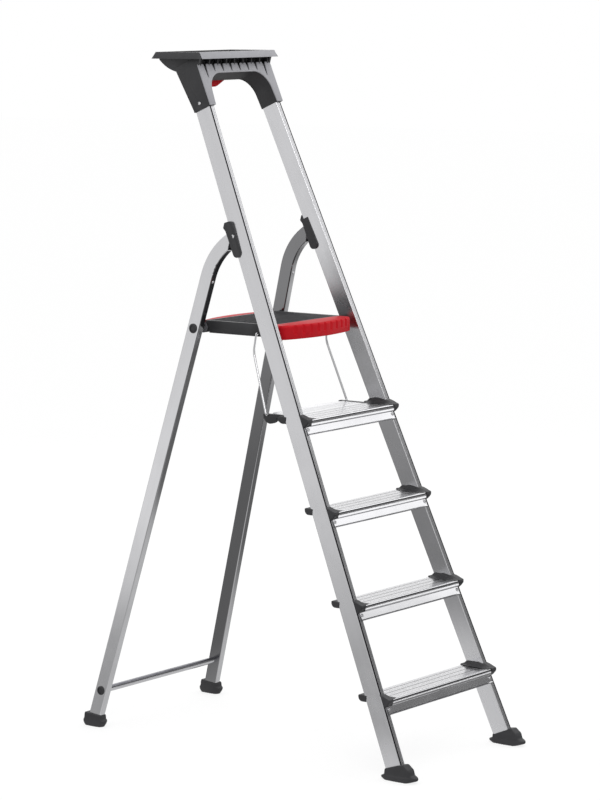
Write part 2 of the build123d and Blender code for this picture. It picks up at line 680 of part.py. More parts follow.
def arch_plane(t):
    """Plane across the stiles at a depth t; its x is X and its y runs up along the stiles."""
    return Plane(origin=(0, *from_stile(0, t)), x_dir=(1, 0, 0), z_dir=(0, -COS, SIN))


def arch_face(top):
    """Arch outline across the ladder: two legs over the stiles and a bridge between them."""
    low, high = BRACKET_HALF_LOW, BRACKET_HALF_HIGH
    outer = outline((-low, BRACKET_LOW), (low, BRACKET_LOW), (high, top), (-high, top))
    opening = make_face(
        Polyline((-134, BRACKET_LOW - 5), (134, BRACKET_LOW - 5), (129, 1915))
        + ThreePointArc((129, 1915), (114, 1946), (76, 1964))
        + Line((76, 1964), (-76, 1964))
        + ThreePointArc((-76, 1964), (-114, 1946), (-129, 1915))
        + Line((-129, 1915), (-134, BRACKET_LOW - 5))
    )
    return outer - opening


def make_bracket(stiles, tray, panel, screws):
    """Dark moulding that caps both stiles and bridges them under the tray."""
    arch = extrude(arch_plane(BRACKET_REAR) * arch_face(PANEL_TOP - 4), amount=BRACKET_REAR + BRACKET_SKIN)
    arch &= Pos(0, 900, TRAY_RIM_LOW - 1000) * Box(900, 1000, 2000)
    for finger in range(FINGERS):
        x = finger_place(finger)
        rib = outline(from_stile(PANEL_TOP - 12, -BRACKET_SKIN + 0.1), (756, 1857), (772, 1857),
                      from_stile(PANEL_TOP - 12, 10))
        arch += side(rib, x - 1.5, x + 1.5)
    cheek = outline(from_stile(1884, BRACKET_REAR - 2), from_stile(1874, BRACKET_REAR), (834, 1819.5),
                    (840, 1826), (780, TRAY_RIM_LOW), (752, TRAY_RIM_LOW), from_stile(PANEL_TOP - 12, 0))
    for sign in (1, -1):
        low_x, high_x = sorted((sign * (BRACKET_HALF_HIGH - 6), sign * BRACKET_HALF_HIGH))
        arch += side(cheek, low_x, high_x)
    basin = side(belly(0), -BASIN_HALF, BASIN_HALF)
    return one_solid(arch - basin - stiles - tray - panel - screws)


def finger_place(index):
    return FINGER_PITCH * (index - (FINGERS - 1) / 2)


def make_front_panel():
    """Light grey facing of the arch with tapered slits between its fingers."""
    face = arch_face(PANEL_TOP)
    for gap in range(FINGERS - 1):
        x = (finger_place(gap) + finger_place(gap + 1)) / 2
        deep = 36 if gap in (0, FINGERS - 2) else 20
        floor = PANEL_TOP - deep
        face -= outline((x - 6, PANEL_TOP + 1), (x + 6, PANEL_TOP + 1), (x + 1.8, floor), (x - 1.8, floor))
        face -= Pos(x, floor) * Circle(1.8)
    return one_solid(extrude(arch_plane(-BRACKET_SKIN) * face, amount=3.0))


def make_tray_trim(tray):
    """Light grey strip on the tray's front rim."""
    strip = outline((TRAY_FRONT - 1.5, TRAY_RIM_LOW), (TRAY_FRONT + TRAY_FLARE - 1.4, TRAY_RIM_HIGH),
                    (TRAY_FRONT + 12.5, TRAY_RIM_HIGH), (TRAY_FRONT + 12.5, TRAY_RIM_LOW))
    return one_solid(side(strip, -TRAY_HALF + 12, TRAY_HALF - 12) - tray)


def tray_screw():
    y, z = 751.3, 1735.3
    x = BRACKET_HALF_LOW
    head = cross_bar((y, z), 4.6, x - 0.8, x + 1.8)
    return head + cross_bar((y, z), 2.2, x - 8, x)


def make_hook():
    y, z = HOOK_PIVOT
    barrel = cross_bar((y, z), 5.0, -29, 29)
    plate = extrude(
        Plane.XZ.offset(-(y - 2)) * outline((-28, z), (28, z), (28, z - 9), (43, z - 15), (43, z - 20), (12, z - 35),
                                            (-12, z - 35), (-43, z - 20), (-43, z - 15), (-28, z - 9)),
        amount=-4,
    )
    lip = side(
        make_face(
            ThreePointArc((y - 2, z - 30), (y + 5, z - 37), (y + 12, z - 30))
            + Polyline((y + 12, z - 30), (y + 12, z - 22), (y + 9, z - 22), (y + 9, z - 30))
            + ThreePointArc((y + 9, z - 30), (y + 5, z - 33.6), (y + 1, z - 30))
            + Line((y + 1, z - 30), (y - 2, z - 30))
        ),
        -11, 11,
    )
    return one_solid(barrel + plate + lip - cross_bar((y, z), HOOK_PIN_R + RUNNING_GAP, -60, 60))


# ---------------------------------------------------------------- assembly
def build():
    os.makedirs("parts", exist_ok=True)
    block = stile_block()
    both_blocks = block + mirrored(block)
    hinge_pin = make_hinge_pin()
    rivets = tread_rivets()
    all_rivets = rivets + [mirrored(item) for item in rivets]
    rivet_tool = rivets[0] + rivets[1] + rivets[2] + rivets[3]
    both_rivets = rivet_tool + mirrored(rivet_tool)
    screw = tray_screw()
    stile = make_stile(hinge_pin, rivet_tool, screw)

    parts = {"stile_right": stile, "stile_left": mirrored(stile), "tread_rivets": all_rivets}
    shelf = make_shelf()
    for index in range(TREAD_COUNT):
        tread = make_tread(index, both_blocks, both_rivets)
        cap = make_cap(index, block, tread, rivet_tool)
        parts[f"tread_{index + 1}"] = tread
        if index == TREAD_COUNT - 1:
            cap = one_solid(cap - shelf)
            bracket = make_stay_bracket(cap, tread, shelf)
            parts["top_tread_shelf"] = shelf
            parts["stay_bracket_right"] = bracket
            parts["stay_bracket_left"] = mirrored(bracket)
        parts[f"tread_cap_right_{index + 1}"] = cap
        parts[f"tread_cap_left_{index + 1}"] = mirrored(cap)

    foot = make_front_foot(block)
    saddle = make_saddle(block, hinge_pin)
    hook_pin = cross_bar(HOOK_PIVOT, HOOK_PIN_R, -35.5, 35.5)
    tray = make_tray(both_blocks, hook_pin)
    panel = make_front_panel()
    parts.update({
        "front_foot_right": foot,
        "front_foot_left": mirrored(foot),
        "hinge_saddle_right": saddle,
        "hinge_saddle_left": mirrored(saddle),
        "hinge_pin_right": hinge_pin,
        "hinge_pin_left": mirrored(hinge_pin),
        "tool_tray": tray,
        "tray_bracket": make_bracket(both_blocks, tray, panel, screw + mirrored(screw)),
        "tray_front_panel": panel,
        "tray_front_trim": make_tray_trim(tray),
        "tray_screws": [screw, mirrored(screw)],
        "hook_pin": hook_pin,
        "bucket_hook": make_hook(),
    })

    leg_block = leg_solid(LEG_DEPTH / 2, LEG_WIDTH / 2) - below_floor(LEG_FOOT_GAP)
    leg_rivet = make_leg_rivet()
    bars = cross_bar(AXLE, AXLE_R, 100, 300) + cross_bar(BRACE, BRACE_R, 100, 300) + leg_rivet
    leg = make_leg(bars)
    tongue = make_tongue(leg, cross_bar(HINGE, HINGE_PIN_R + RUNNING_GAP, 100, 200))
    axle = make_cross_tube(AXLE, AXLE_R, AXLE_BORE_R)
    brace = make_cross_tube(BRACE, BRACE_R, BRACE_R - 1.6)
    axle_plug = make_plug(AXLE, 13.2, AXLE_BORE_R, axle, leg_block)
    brace_plug = make_plug(BRACE, 12.6, BRACE_R - 1.6, brace, leg_block)
    rear_foot = make_rear_foot(leg_block)
    parts.update({
        "rear_leg_right": leg,
        "rear_leg_left": mirrored(leg),
        "leg_hinge_tongue_right": tongue,
        "leg_hinge_tongue_left": mirrored(tongue),
        "platform_axle": axle,
        "rear_brace": brace,
        "axle_plug_right": axle_plug,
        "axle_plug_left": mirrored(axle_plug),
        "brace_plug_right": brace_plug,
        "brace_plug_left": mirrored(brace_plug),
        "rear_foot_right": rear_foot,
        "rear_foot_left": mirrored(rear_foot),
        "leg_rivets": [leg_rivet, mirrored(leg_rivet)],
    })

    deck = make_deck()
    bush = make_bush()
    stay = make_stay()
    parts.update({
        "platform_deck": deck,
        "platform_mat": make_mat(),
        "platform_front_nosing": make_front_nosing(),
        "platform_rear_nosing": make_rear_nosing(),
        "platform_bush_right": bush,
        "platform_bush_left": mirrored(bush),
        "stay_right": stay,
        "stay_left": mirrored(stay),
    })

    for name, solids in parts.items():
        save(name, solids)
    return parts


build()
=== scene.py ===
"""Looks of a folding platform step ladder, built round its fixed CAD frame."""

import json
import logging
import math
from collections.abc import Callable
from dataclasses import dataclass
from enum import Enum
from typing import Any

import bmesh
import bpy
from mathutils import Matrix, Vector

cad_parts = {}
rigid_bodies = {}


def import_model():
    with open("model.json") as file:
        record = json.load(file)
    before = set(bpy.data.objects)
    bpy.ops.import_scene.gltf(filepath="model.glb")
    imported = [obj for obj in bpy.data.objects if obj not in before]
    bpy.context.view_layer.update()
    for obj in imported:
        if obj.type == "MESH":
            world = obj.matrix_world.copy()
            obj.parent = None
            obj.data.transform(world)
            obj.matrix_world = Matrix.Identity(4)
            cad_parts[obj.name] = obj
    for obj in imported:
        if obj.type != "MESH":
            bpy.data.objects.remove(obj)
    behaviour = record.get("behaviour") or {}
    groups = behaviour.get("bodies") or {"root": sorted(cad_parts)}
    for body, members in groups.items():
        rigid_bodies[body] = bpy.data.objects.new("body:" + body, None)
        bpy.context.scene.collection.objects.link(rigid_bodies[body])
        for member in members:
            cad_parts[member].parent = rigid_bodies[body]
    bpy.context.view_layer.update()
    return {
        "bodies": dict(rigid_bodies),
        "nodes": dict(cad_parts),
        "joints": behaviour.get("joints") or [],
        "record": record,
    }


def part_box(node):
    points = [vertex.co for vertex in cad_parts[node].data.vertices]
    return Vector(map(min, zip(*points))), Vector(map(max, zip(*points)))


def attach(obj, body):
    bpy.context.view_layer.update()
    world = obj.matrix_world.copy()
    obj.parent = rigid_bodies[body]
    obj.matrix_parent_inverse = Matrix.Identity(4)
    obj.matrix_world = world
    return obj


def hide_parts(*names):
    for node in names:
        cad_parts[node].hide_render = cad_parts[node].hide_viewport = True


LOG = logging.getLogger("ladder")

Colour = tuple[float, float, float]
Corner = tuple[float, float, float]

MID_DEPTH = 0.5405
STILE_LEAN = math.atan(0.4162)
STILE_HALF = 0.259
STILE_TAPER = 0.0606
LEG_LEAN = math.radians(15.94)
FIRST_TREAD = 0.2081
TREAD_PITCH = 0.235
CROSS_TUBES = ("rear_brace", "platform_axle")
WRAP_MARGIN = 0.010
WELD = 0.00001
RANGE_SOCKETS = ("From Min", "From Max", "To Min", "To Max")


class Direction(Enum):
    """The way a pattern runs on a piece, as the turn about X, Y and Z that lays it along Z."""

    STILE = (STILE_LEAN, 0.0, 0.0)
    LEG = (-LEG_LEAN, 0.0, 0.0)
    UPRIGHT = (0.0, 0.0, 0.0)
    ACROSS = (0.0, math.pi / 2, 0.0)


# ---------------------------------------------------------------- shared shader groups
@dataclass(frozen=True)
class Socket:
    """One socket of a shader group."""

    name: str
    kind: str
    default: Any = None


class ShaderGroup:
    """A node group made once and placed in each material that uses its effect."""

    def __init__(self, name: str, inputs: tuple[Socket, ...], outputs: tuple[Socket, ...]) -> None:
        """Makes the empty group.

        Args:
            name: The group's name.
            inputs: Its input sockets.
            outputs: Its output sockets.
        """
        self.tree = bpy.data.node_groups.new(name, "ShaderNodeTree")
        for socket in inputs:
            made = self.tree.interface.new_socket(name=socket.name, in_out="INPUT", socket_type=socket.kind)
            if socket.default is not None:
                made.default_value = socket.default
        for socket in outputs:
            self.tree.interface.new_socket(name=socket.name, in_out="OUTPUT", socket_type=socket.kind)
        self.source = self.tree.nodes.new("NodeGroupInput")
        self.sink = self.tree.nodes.new("NodeGroupOutput")

    def node(self, kind: str, **settings: Any) -> bpy.types.Node:
        """Adds a node to the group and sets its properties and sockets."""
        return add_node(self.tree, kind, **settings)

    def link(self, start: bpy.types.NodeSocket, end: bpy.types.NodeSocket) -> None:
        """Joins two sockets of the group."""
        self.tree.links.new(start, end)

    def compute(self, operation: str, *values: bpy.types.NodeSocket | float) -> bpy.types.NodeSocket:
        """Adds a Math node to the group and gives its result."""
        return compute(self.tree, operation, *values)

    def split(self, name: str) -> bpy.types.Node:
        """Splits an input vector of the group into X, Y and Z."""
        node = self.node("SeparateXYZ")
        self.link(self.source.outputs[name], node.inputs[0])
        return node


def add_node(tree: bpy.types.NodeTree, kind: str, **settings: Any) -> bpy.types.Node:
    """Adds a node to a tree.

    Args:
        tree: The tree that gets the node.
        kind: The node's type without its ShaderNode prefix.
        settings: Properties of the node, or values of its input sockets by name with spaces as underscores.

    Returns:
        The new node.
    """
    node = tree.nodes.new("ShaderNode" + kind)
    for name, value in settings.items():
        if hasattr(node, name):
            setattr(node, name, value)
        else:
            node.inputs[name.replace("_", " ")].default_value = value
    return node


def set_range(node: bpy.types.Node, *limits: float) -> None:
    """Sets a Map Range node's From Min, From Max, To Min and To Max."""
    for name, number in zip(RANGE_SOCKETS, limits):
        node.inputs[name].default_value = number


def compute(tree: bpy.types.NodeTree, operation: str,
            *values: bpy.types.NodeSocket | float) -> bpy.types.NodeSocket:
    """Adds a Math node to a tree.

    Args:
        tree: The tree that gets the node.
        operation: What the node computes.
        values: Its inputs in order, as sockets or numbers.

    Returns:
        The result.
    """
    node = add_node(tree, "Math", operation=operation)
    for socket, value in zip(node.inputs, values):
        if isinstance(value, float):
            socket.default_value = value
        else:
            tree.links.new(value, socket)
    return node.outputs[0]


class Effects:
    """The effects that several finishes share."""

    def __init__(self) -> None:
        """Builds every shared group."""
        self.drawn = self._drawn_lines()
        self.grain = self._moulded_grain()
        self.handling = self._handling_marks()
        # The six groups from here on mask painted shade: inward faces, forward faces, tube crowns and grooves.
        self.leg_inner_shade = self._inner_face_shade("leg_inner_shade", -1.0, 3.0, 0.1)
        self.stile_inner_shade = self._inner_face_shade("stile_inner_shade", 0.50, 1.08, 0.25)
        self.front = self._front_faces()
        self.tube_crown_shade = self._tube_crown_shade()
        self.stile_groove_shade = self._stile_groove_shade()
        self.tread_groove_shade = self._tread_groove_shade()

    def _window(self, group: ShaderGroup, value: bpy.types.NodeSocket, low: float, high: float,
                soft: float) -> bpy.types.NodeSocket:
        """A mask that is 1 where a value lies between two limits, with soft edges.

        Args:
            group: The group that gets the nodes.
            value: The value to test.
            low: Lower limit.
            high: Upper limit.
            soft: Width of each edge.

        Returns:
            The mask.
        """
        sides = []
        for limits in ((low - soft, low, 0.0, 1.0), (high, high + soft, 1.0, 0.0)):
            edge = group.node("MapRange")
            set_range(edge, *limits)
            group.link(value, edge.inputs["Value"])
            sides.append(edge.outputs[0])
        return group.compute("MULTIPLY", *sides)

    def _plane(self, group: ShaderGroup, vector: bpy.types.NodeSocket, slopes: Corner,
               start: float) -> bpy.types.NodeSocket:
        """The distance of a point from a plane, as a dot product and an offset."""
        dot = group.node("VectorMath", operation="DOT_PRODUCT")
        group.link(vector, dot.inputs[0])
        dot.inputs[1].default_value = slopes
        return group.compute("ADD", dot.outputs["Value"], start)

    def _facing_group(self, name: str) -> ShaderGroup:
        """An empty group that makes a mask from a place and the way its face looks."""
        inputs = (Socket("Vector", "NodeSocketVector"), Socket("Normal", "NodeSocketVector"))
        return ShaderGroup(name, inputs, (Socket("Mask", "NodeSocketFloat"),))

    def _cloudy(self, group: ShaderGroup, mask: bpy.types.NodeSocket, scale: float, detail: float,
                low: float, high: float) -> bpy.types.NodeTree:
        """Puts out a mask, made cloudy.

        Args:
            group: The group whose Mask output is fed.
            mask: The even mask.
            scale: Scale of the clouds.
            detail: Their detail.
            low: The mask's share where they are thinnest.
            high: Its share where they are thickest.

        Returns:
            The group's tree.
        """
        clouds = group.node("TexNoise", Scale=scale, Detail=detail)
        group.link(group.source.outputs["Vector"], clouds.inputs["Vector"])
        share = group.node("MapRange")
        set_range(share, 0.0, 1.0, low, high)
        group.link(clouds.outputs[0], share.inputs["Value"])
        cloudy = group.node("Math", operation="MULTIPLY", use_clamp=True)
        group.link(mask, cloudy.inputs[0])
        group.link(share.outputs[0], cloudy.inputs[1])
        group.link(cloudy.outputs[0], group.sink.inputs["Mask"])
        return group.tree

    def _inner_face_shade(self, name: str, low: float, high: float, soft: float) -> bpy.types.NodeTree:
        """Faces that look towards the middle of the ladder, darkened as painted shade that stands in for the darker
        surroundings they mirror.

        Args:
            name: The group's name.
            low: Height where the painted shade begins.
            high: Height where it ends.
            soft: Length of each end's fade.

        Returns:
            A group with a Mask output.
        """
        group = self._facing_group(name)
        place, facing = group.split("Vector"), group.split("Normal")
        side = group.compute("SIGN", place.outputs["X"])
        towards = group.compute("MULTIPLY", side, facing.outputs["X"])
        mask = group.compute("MULTIPLY", self._window(group, towards, -2.0, -0.85, 0.3),
                             self._window(group, place.outputs["Z"], low, high, soft))
        group.link(mask, group.sink.inputs["Mask"])
        return group.tree

    def _front_faces(self) -> bpy.types.NodeTree:
        """Faces of a rear leg that look forward, which the treads leave in the dark.

        Returns:
            A group with a Mask output, cloudy along the leg.
        """
        group = self._facing_group("front_faces")
        facing, place = group.split("Normal"), group.split("Vector")
        height = group.node("MapRange", interpolation_type="SMOOTHSTEP")
        set_range(height, 0.85, 1.1, 0.35, 1.0)
        group.link(place.outputs["Z"], height.inputs["Value"])
        ahead = self._window(group, facing.outputs["Y"], -2.0, -0.75, 0.2)
        forward = group.compute("MULTIPLY", ahead, height.outputs[0])
        return self._cloudy(group, forward, 14.0, 2.0, 0.55, 1.25)

    def _tube_crown_shade(self) -> bpy.types.NodeTree:
        """The crown of a cross tube, darkened as painted shade that stands in for a dark reflection along its top.

        Returns:
            A group with a Mask output.
        """
        group = self._facing_group("tube_crown_shade")
        crown = self._window(group, group.split("Normal").outputs["Z"], 0.45, 2.0, 0.15)
        return self._cloudy(group, crown, 40.0, 3.0, 0.8, 1.1)

    def _stile_groove_shade(self) -> bpy.types.NodeTree:
        """Painted shade lines in and beside the grooves along a stile's front face.

        Returns:
            A group with a Mask output.
        """
        group = ShaderGroup(
            "stile_groove_shade", (Socket("Vector", "NodeSocketVector"),), (Socket("Mask", "NodeSocketFloat"),)
        )
        away = group.node("VectorMath", operation="ABSOLUTE")
        group.link(group.source.outputs["Vector"], away.inputs[0])
        depth = self._plane(group, group.source.outputs["Vector"],
                            (0.0, math.cos(STILE_LEAN), -math.sin(STILE_LEAN)), MID_DEPTH * math.cos(STILE_LEAN))
        inset = self._plane(group, away.outputs[0], (-1.0, 0.0, -STILE_TAPER), STILE_HALF)
        front = group.compute("MULTIPLY", self._window(group, depth, -0.001, 0.0021, 0.0003),
                              self._window(group, inset, 0.0006, 0.0058, 0.0003))
        fine = group.compute("MULTIPLY", self._window(group, depth, 0.0003, 0.0014, 0.0001),
                             self._window(group, inset, 0.0060, 0.0175, 0.0002))
        group.link(group.compute("MAXIMUM", front, fine), group.sink.inputs["Mask"])
        return group.tree

    def _tread_groove_shade(self) -> bpy.types.NodeTree:
        """Painted shade lines in a tread's grooves, under its nose, along the lip of its skirt and in three lines
        along its top.

        Returns:
            A group with a Mask output.
        """
        group = ShaderGroup(
            "tread_groove_shade",
            (Socket("Vector", "NodeSocketVector"), Socket("Normal", "NodeSocketVector")),
            (Socket("Mask", "NodeSocketFloat"), Socket("Normal", "NodeSocketVector")),
        )
        above = group.compute("SUBTRACT", group.split("Vector").outputs["Z"], FIRST_TREAD + WRAP_MARGIN)
        lift = group.compute("ADD", above, 2 * TREAD_PITCH)
        wrapped = group.compute("MODULO", lift, TREAD_PITCH)
        top = TREAD_PITCH - WRAP_MARGIN
        lines = []
        for low, high, share in ((-0.0011, -0.0004, 1.0), (-0.0056, -0.0032, 0.9), (-0.0215, -0.0176, 0.9),
                                 (-0.0412, -0.0394, 0.8)):
            band = self._window(group, wrapped, top + low, top + high, 0.0001)
            lines.append(group.compute("MULTIPLY", band, share))
        back = self._plane(group, group.source.outputs["Vector"], (0.0, 1.0, -math.tan(STILE_LEAN)), MID_DEPTH)
        level = self._window(group, wrapped, top - 0.0004, top + 0.001, 0.0001)
        for line in (0.005, 0.029, 0.053):
            strip = group.compute("MULTIPLY", self._window(group, back, line - 0.0013, line + 0.0013, 0.0009), level)
            lines.append(group.compute("MULTIPLY", strip, 0.75))
        total = lines[0]
        for line in lines[1:]:
            total = group.compute("MAXIMUM", total, line)
        group.link(total, group.sink.inputs["Mask"])
        self._tread_normal(group, wrapped, top)
        return group.tree

    def _tread_normal(self, group: ShaderGroup, height: bpy.types.NodeSocket, top: float) -> None:
        """Gives the nose a rounded and the skirt an upright shading normal.

        Args:
            group: The group that gets the nodes and has a Normal input and output.
            height: Height within one tread's pitch.
            top: The height of the tread's top within the pitch.
        """
        crown = group.node("MapRange")
        set_range(crown, top - 0.0165, top - 0.0056, 0.0, 0.42)
        group.link(height, crown.inputs["Value"])
        upright = self._window(group, height, top - 0.0394, top - 0.0205, 0.0002)
        tilt = group.node("CombineXYZ")
        group.link(group.compute("MULTIPLY_ADD", upright, -0.37, crown.outputs[0]), tilt.inputs["Z"])
        tilted = group.node("VectorMath", operation="ADD")
        group.link(group.source.outputs["Normal"], tilted.inputs[0])
        group.link(tilt.outputs[0], tilted.inputs[1])
        even = group.node("VectorMath", operation="NORMALIZE")
        group.link(tilted.outputs[0], even.inputs[0])
        group.link(even.outputs[0], group.sink.inputs["Normal"])

    def _drawn_lines(self) -> bpy.types.NodeTree:
        """Fine lines along a drawn or extruded bar.

        Returns:
            A group with a Mask and a Height output.
        """
        group = ShaderGroup(
            "drawn_lines",
            (
                Socket("Vector", "NodeSocketVector"),
                Socket("Fineness", "NodeSocketFloat", 900.0),
                Socket("Broad", "NodeSocketFloat", 60.0),
            ),
            (Socket("Mask", "NodeSocketFloat"), Socket("Height", "NodeSocketFloat")),
        )
        stretch = group.node("VectorMath", operation="MULTIPLY")
        stretch.inputs[1].default_value = (1.0, 1.0, 0.012)
        group.link(group.source.outputs["Vector"], stretch.inputs[0])
        fine = group.node("TexNoise", Detail=3.0, Roughness=0.55)
        broad = group.node("TexNoise", Detail=2.0, Roughness=0.5)
        group.link(stretch.outputs[0], fine.inputs["Vector"])
        group.link(stretch.outputs[0], broad.inputs["Vector"])
        group.link(group.source.outputs["Fineness"], fine.inputs["Scale"])
        group.link(group.source.outputs["Broad"], broad.inputs["Scale"])
        share = group.compute("MULTIPLY", fine.outputs[0], 0.4)
        group.link(group.compute("MULTIPLY_ADD", broad.outputs[0], 0.6, share), group.sink.inputs["Mask"])
        group.link(fine.outputs[0], group.sink.inputs["Height"])
        return group.tree

    def _moulded_grain(self) -> bpy.types.NodeTree:
        """The fine pebbled texture of a moulded plastic or rubber face.

        Returns:
            A group with a Height and a Mask output.
        """
        group = ShaderGroup(
            "moulded_grain",
            (Socket("Vector", "NodeSocketVector"), Socket("Size", "NodeSocketFloat", 1400.0)),
            (Socket("Height", "NodeSocketFloat"), Socket("Mask", "NodeSocketFloat")),
        )
        cells = group.node("TexVoronoi", feature="SMOOTH_F1", Smoothness=0.6)
        clouds = group.node("TexNoise", Scale=22.0, Detail=4.0)
        group.link(group.source.outputs["Vector"], cells.inputs["Vector"])
        group.link(group.source.outputs["Size"], cells.inputs["Scale"])
        group.link(group.source.outputs["Vector"], clouds.inputs["Vector"])
        group.link(cells.outputs["Distance"], group.sink.inputs["Height"])
        group.link(clouds.outputs[0], group.sink.inputs["Mask"])
        return group.tree

    def _handling_marks(self) -> bpy.types.NodeTree:
        """Faint patches and smears that use leaves on a surface.

        Returns:
            A group with a Mask output.
        """
        group = ShaderGroup(
            "handling_marks",
            (
                Socket("Vector", "NodeSocketVector"),
                Socket("Patch", "NodeSocketFloat", 9.0),
                Socket("Low", "NodeSocketFloat", 0.35),
                Socket("High", "NodeSocketFloat", 0.75),
            ),
            (Socket("Mask", "NodeSocketFloat"),),
        )
        patches = group.node("TexNoise", Detail=5.0, Roughness=0.6, Distortion=0.4)
        group.link(group.source.outputs["Vector"], patches.inputs["Vector"])
        group.link(group.source.outputs["Patch"], patches.inputs["Scale"])
        spread = group.node("MapRange", interpolation_type="SMOOTHSTEP")
        group.link(patches.outputs[0], spread.inputs["Value"])
        group.link(group.source.outputs["Low"], spread.inputs["From Min"])
        group.link(group.source.outputs["High"], spread.inputs["From Max"])
        group.link(spread.outputs[0], group.sink.inputs["Mask"])
        return group.tree


# ---------------------------------------------------------------- finishes
@dataclass
class Finish:
    """What every finish shares: a material with a Principled shader and object coordinates."""

    name: str

    def start(self, turn: Corner = (0.0, 0.0, 0.0)) -> tuple[bpy.types.NodeTree, bpy.types.Node, bpy.types.Node]:
        """Makes the material's tree.

        Args:
            turn: Turn of the pattern about X, Y and Z, in radians.

        Returns:
            The tree, its Principled node and the Mapping node that gives coordinates.
        """
        self.material = bpy.data.materials.new(self.name)
        self.material.use_nodes = True
        tree = self.material.node_tree
        shader = tree.nodes["Principled BSDF"]
        place = add_node(tree, "TexCoord")
        mapping = add_node(tree, "Mapping")
        mapping.inputs["Rotation"].default_value = turn
        tree.links.new(place.outputs["Object"], mapping.inputs["Vector"])
        return tree, shader, mapping

    def use(self, tree: bpy.types.NodeTree, group: bpy.types.NodeTree, vector: bpy.types.NodeSocket,
            **values: float) -> bpy.types.Node:
        """Places a shared group in a material.

        Args:
            tree: The material's tree.
            group: The shared group.
            vector: The coordinates that the group reads.
            values: Values of the group's other inputs.

        Returns:
            The group's node.
        """
        node = tree.nodes.new("ShaderNodeGroup")
        node.node_tree = group
        for name, value in values.items():
            node.inputs[name].default_value = value
        tree.links.new(vector, node.inputs["Vector"])
        return node

    def between(self, tree: bpy.types.NodeTree, mask: bpy.types.NodeSocket, low: float,
                high: float) -> bpy.types.NodeSocket:
        """Turns a 0 to 1 mask into a value between two limits."""
        node = add_node(tree, "MapRange")
        node.inputs["To Min"].default_value = low
        node.inputs["To Max"].default_value = high
        tree.links.new(mask, node.inputs["Value"])
        return node.outputs[0]

    def mix(self, tree: bpy.types.NodeTree, mask: bpy.types.NodeSocket, first: Colour | bpy.types.NodeSocket,
            second: Colour) -> bpy.types.NodeSocket:
        """Mixes two colours by a mask; the first may be a socket."""
        node = add_node(tree, "Mix", data_type="RGBA")
        if isinstance(first, tuple):
            node.inputs[6].default_value = (*first, 1.0)
        else:
            tree.links.new(first, node.inputs[6])
        node.inputs[7].default_value = (*second, 1.0)
        tree.links.new(mask, node.inputs[0])
        return node.outputs[2]

    def bump(self, tree: bpy.types.NodeTree, shader: bpy.types.Node, height: bpy.types.NodeSocket,
             strength: float, distance: float) -> None:
        """Feeds a height to the shader's normal."""
        node = add_node(tree, "Bump", Strength=strength, Distance=distance)
        tree.links.new(height, node.inputs["Height"])
        tree.links.new(node.outputs["Normal"], shader.inputs["Normal"])


class Recess(Enum):
    """Where a drawn bar gets painted shade: lines in a stile's or tread's grooves, or a tube's crown."""

    NONE = "none"
    STILE = "stile"
    TREAD = "tread"
    TUBE = "tube"


@dataclass
class DrawnMetal(Finish):
    """Aluminium or steel with drawing lines along the bar, and painted shade on inward faces, forward faces, grooves
    and tube crowns.
    """

    light: Colour
    dark: Colour
    smooth: float
    rough: float
    direction: Direction
    inside: float = 1.0
    front: float = 1.0
    recess: Recess = Recess.NONE
    line_depth: float = 0.00002

    def make(self, effects: Effects) -> bpy.types.Material:
        """Builds the material from the shared effects."""
        tree, shader, mapping = self.start(self.direction.value)
        vector = mapping.outputs["Vector"]
        lines = self.use(tree, effects.drawn, vector, Fineness=520.0, Broad=45.0)
        marks = self.use(tree, effects.handling, vector, Patch=6.0)
        colour = self.mix(tree, lines.outputs["Mask"], self.dark, self.light)
        place = next(node for node in tree.nodes if node.type == "TEX_COORD").outputs["Object"]
        # Painted shade on faces that look towards the middle of the ladder.
        if self.inside < 1.0:
            stretch = effects.stile_inner_shade if self.direction is Direction.STILE else effects.leg_inner_shade
            inner = self.use(tree, stretch, place)
            tree.links.new(add_node(tree, "NewGeometry").outputs["Normal"], inner.inputs["Normal"])
            shade = tuple(self.inside * value for value in self.dark)
            colour = self.mix(tree, inner.outputs["Mask"], colour, shade)
        # Painted shade on forward faces of the rear legs.
        if self.front < 1.0:
            forward = self.use(tree, effects.front, place)
            tree.links.new(add_node(tree, "NewGeometry").outputs["Normal"], forward.inputs["Normal"])
            shade = tuple(self.front * value for value in self.dark)
            colour = self.mix(tree, forward.outputs["Mask"], colour, shade)
        # Painted shade lines in and beside the stile's grooves.
        if self.recess is Recess.STILE:
            groove = self.use(tree, effects.stile_groove_shade, place)
            colour = self.mix(tree, groove.outputs["Mask"], colour, (0.06, 0.06, 0.065))
        # Painted shade on the crown of a cross tube.
        if self.recess is Recess.TUBE:
            crown = self.use(tree, effects.tube_crown_shade, place)
            tree.links.new(add_node(tree, "NewGeometry").outputs["Normal"], crown.inputs["Normal"])
            colour = self.mix(tree, crown.outputs["Mask"], colour, (0.16, 0.16, 0.18))
        # Painted shade lines in the tread's grooves, under its nose, along its skirt's lip and on its top.
        if self.recess is Recess.TREAD:
            groove = self.use(tree, effects.tread_groove_shade, place)
            tree.links.new(add_node(tree, "NewGeometry").outputs["Normal"], groove.inputs["Normal"])
            colour = self.mix(tree, groove.outputs["Mask"], colour, (0.16, 0.16, 0.17))
        tree.links.new(colour, shader.inputs["Base Color"])
        tree.links.new(self.between(tree, marks.outputs["Mask"], self.smooth, self.rough),
                       shader.inputs["Roughness"])
        shader.inputs["Metallic"].default_value = 1.0
        self.bump(tree, shader, lines.outputs["Height"], 0.35, self.line_depth)
        if self.recess is Recess.TREAD:
            rounded = next(node for node in tree.nodes if node.type == "BUMP")
            tree.links.new(groove.outputs["Normal"], rounded.inputs["Normal"])
        return self.material


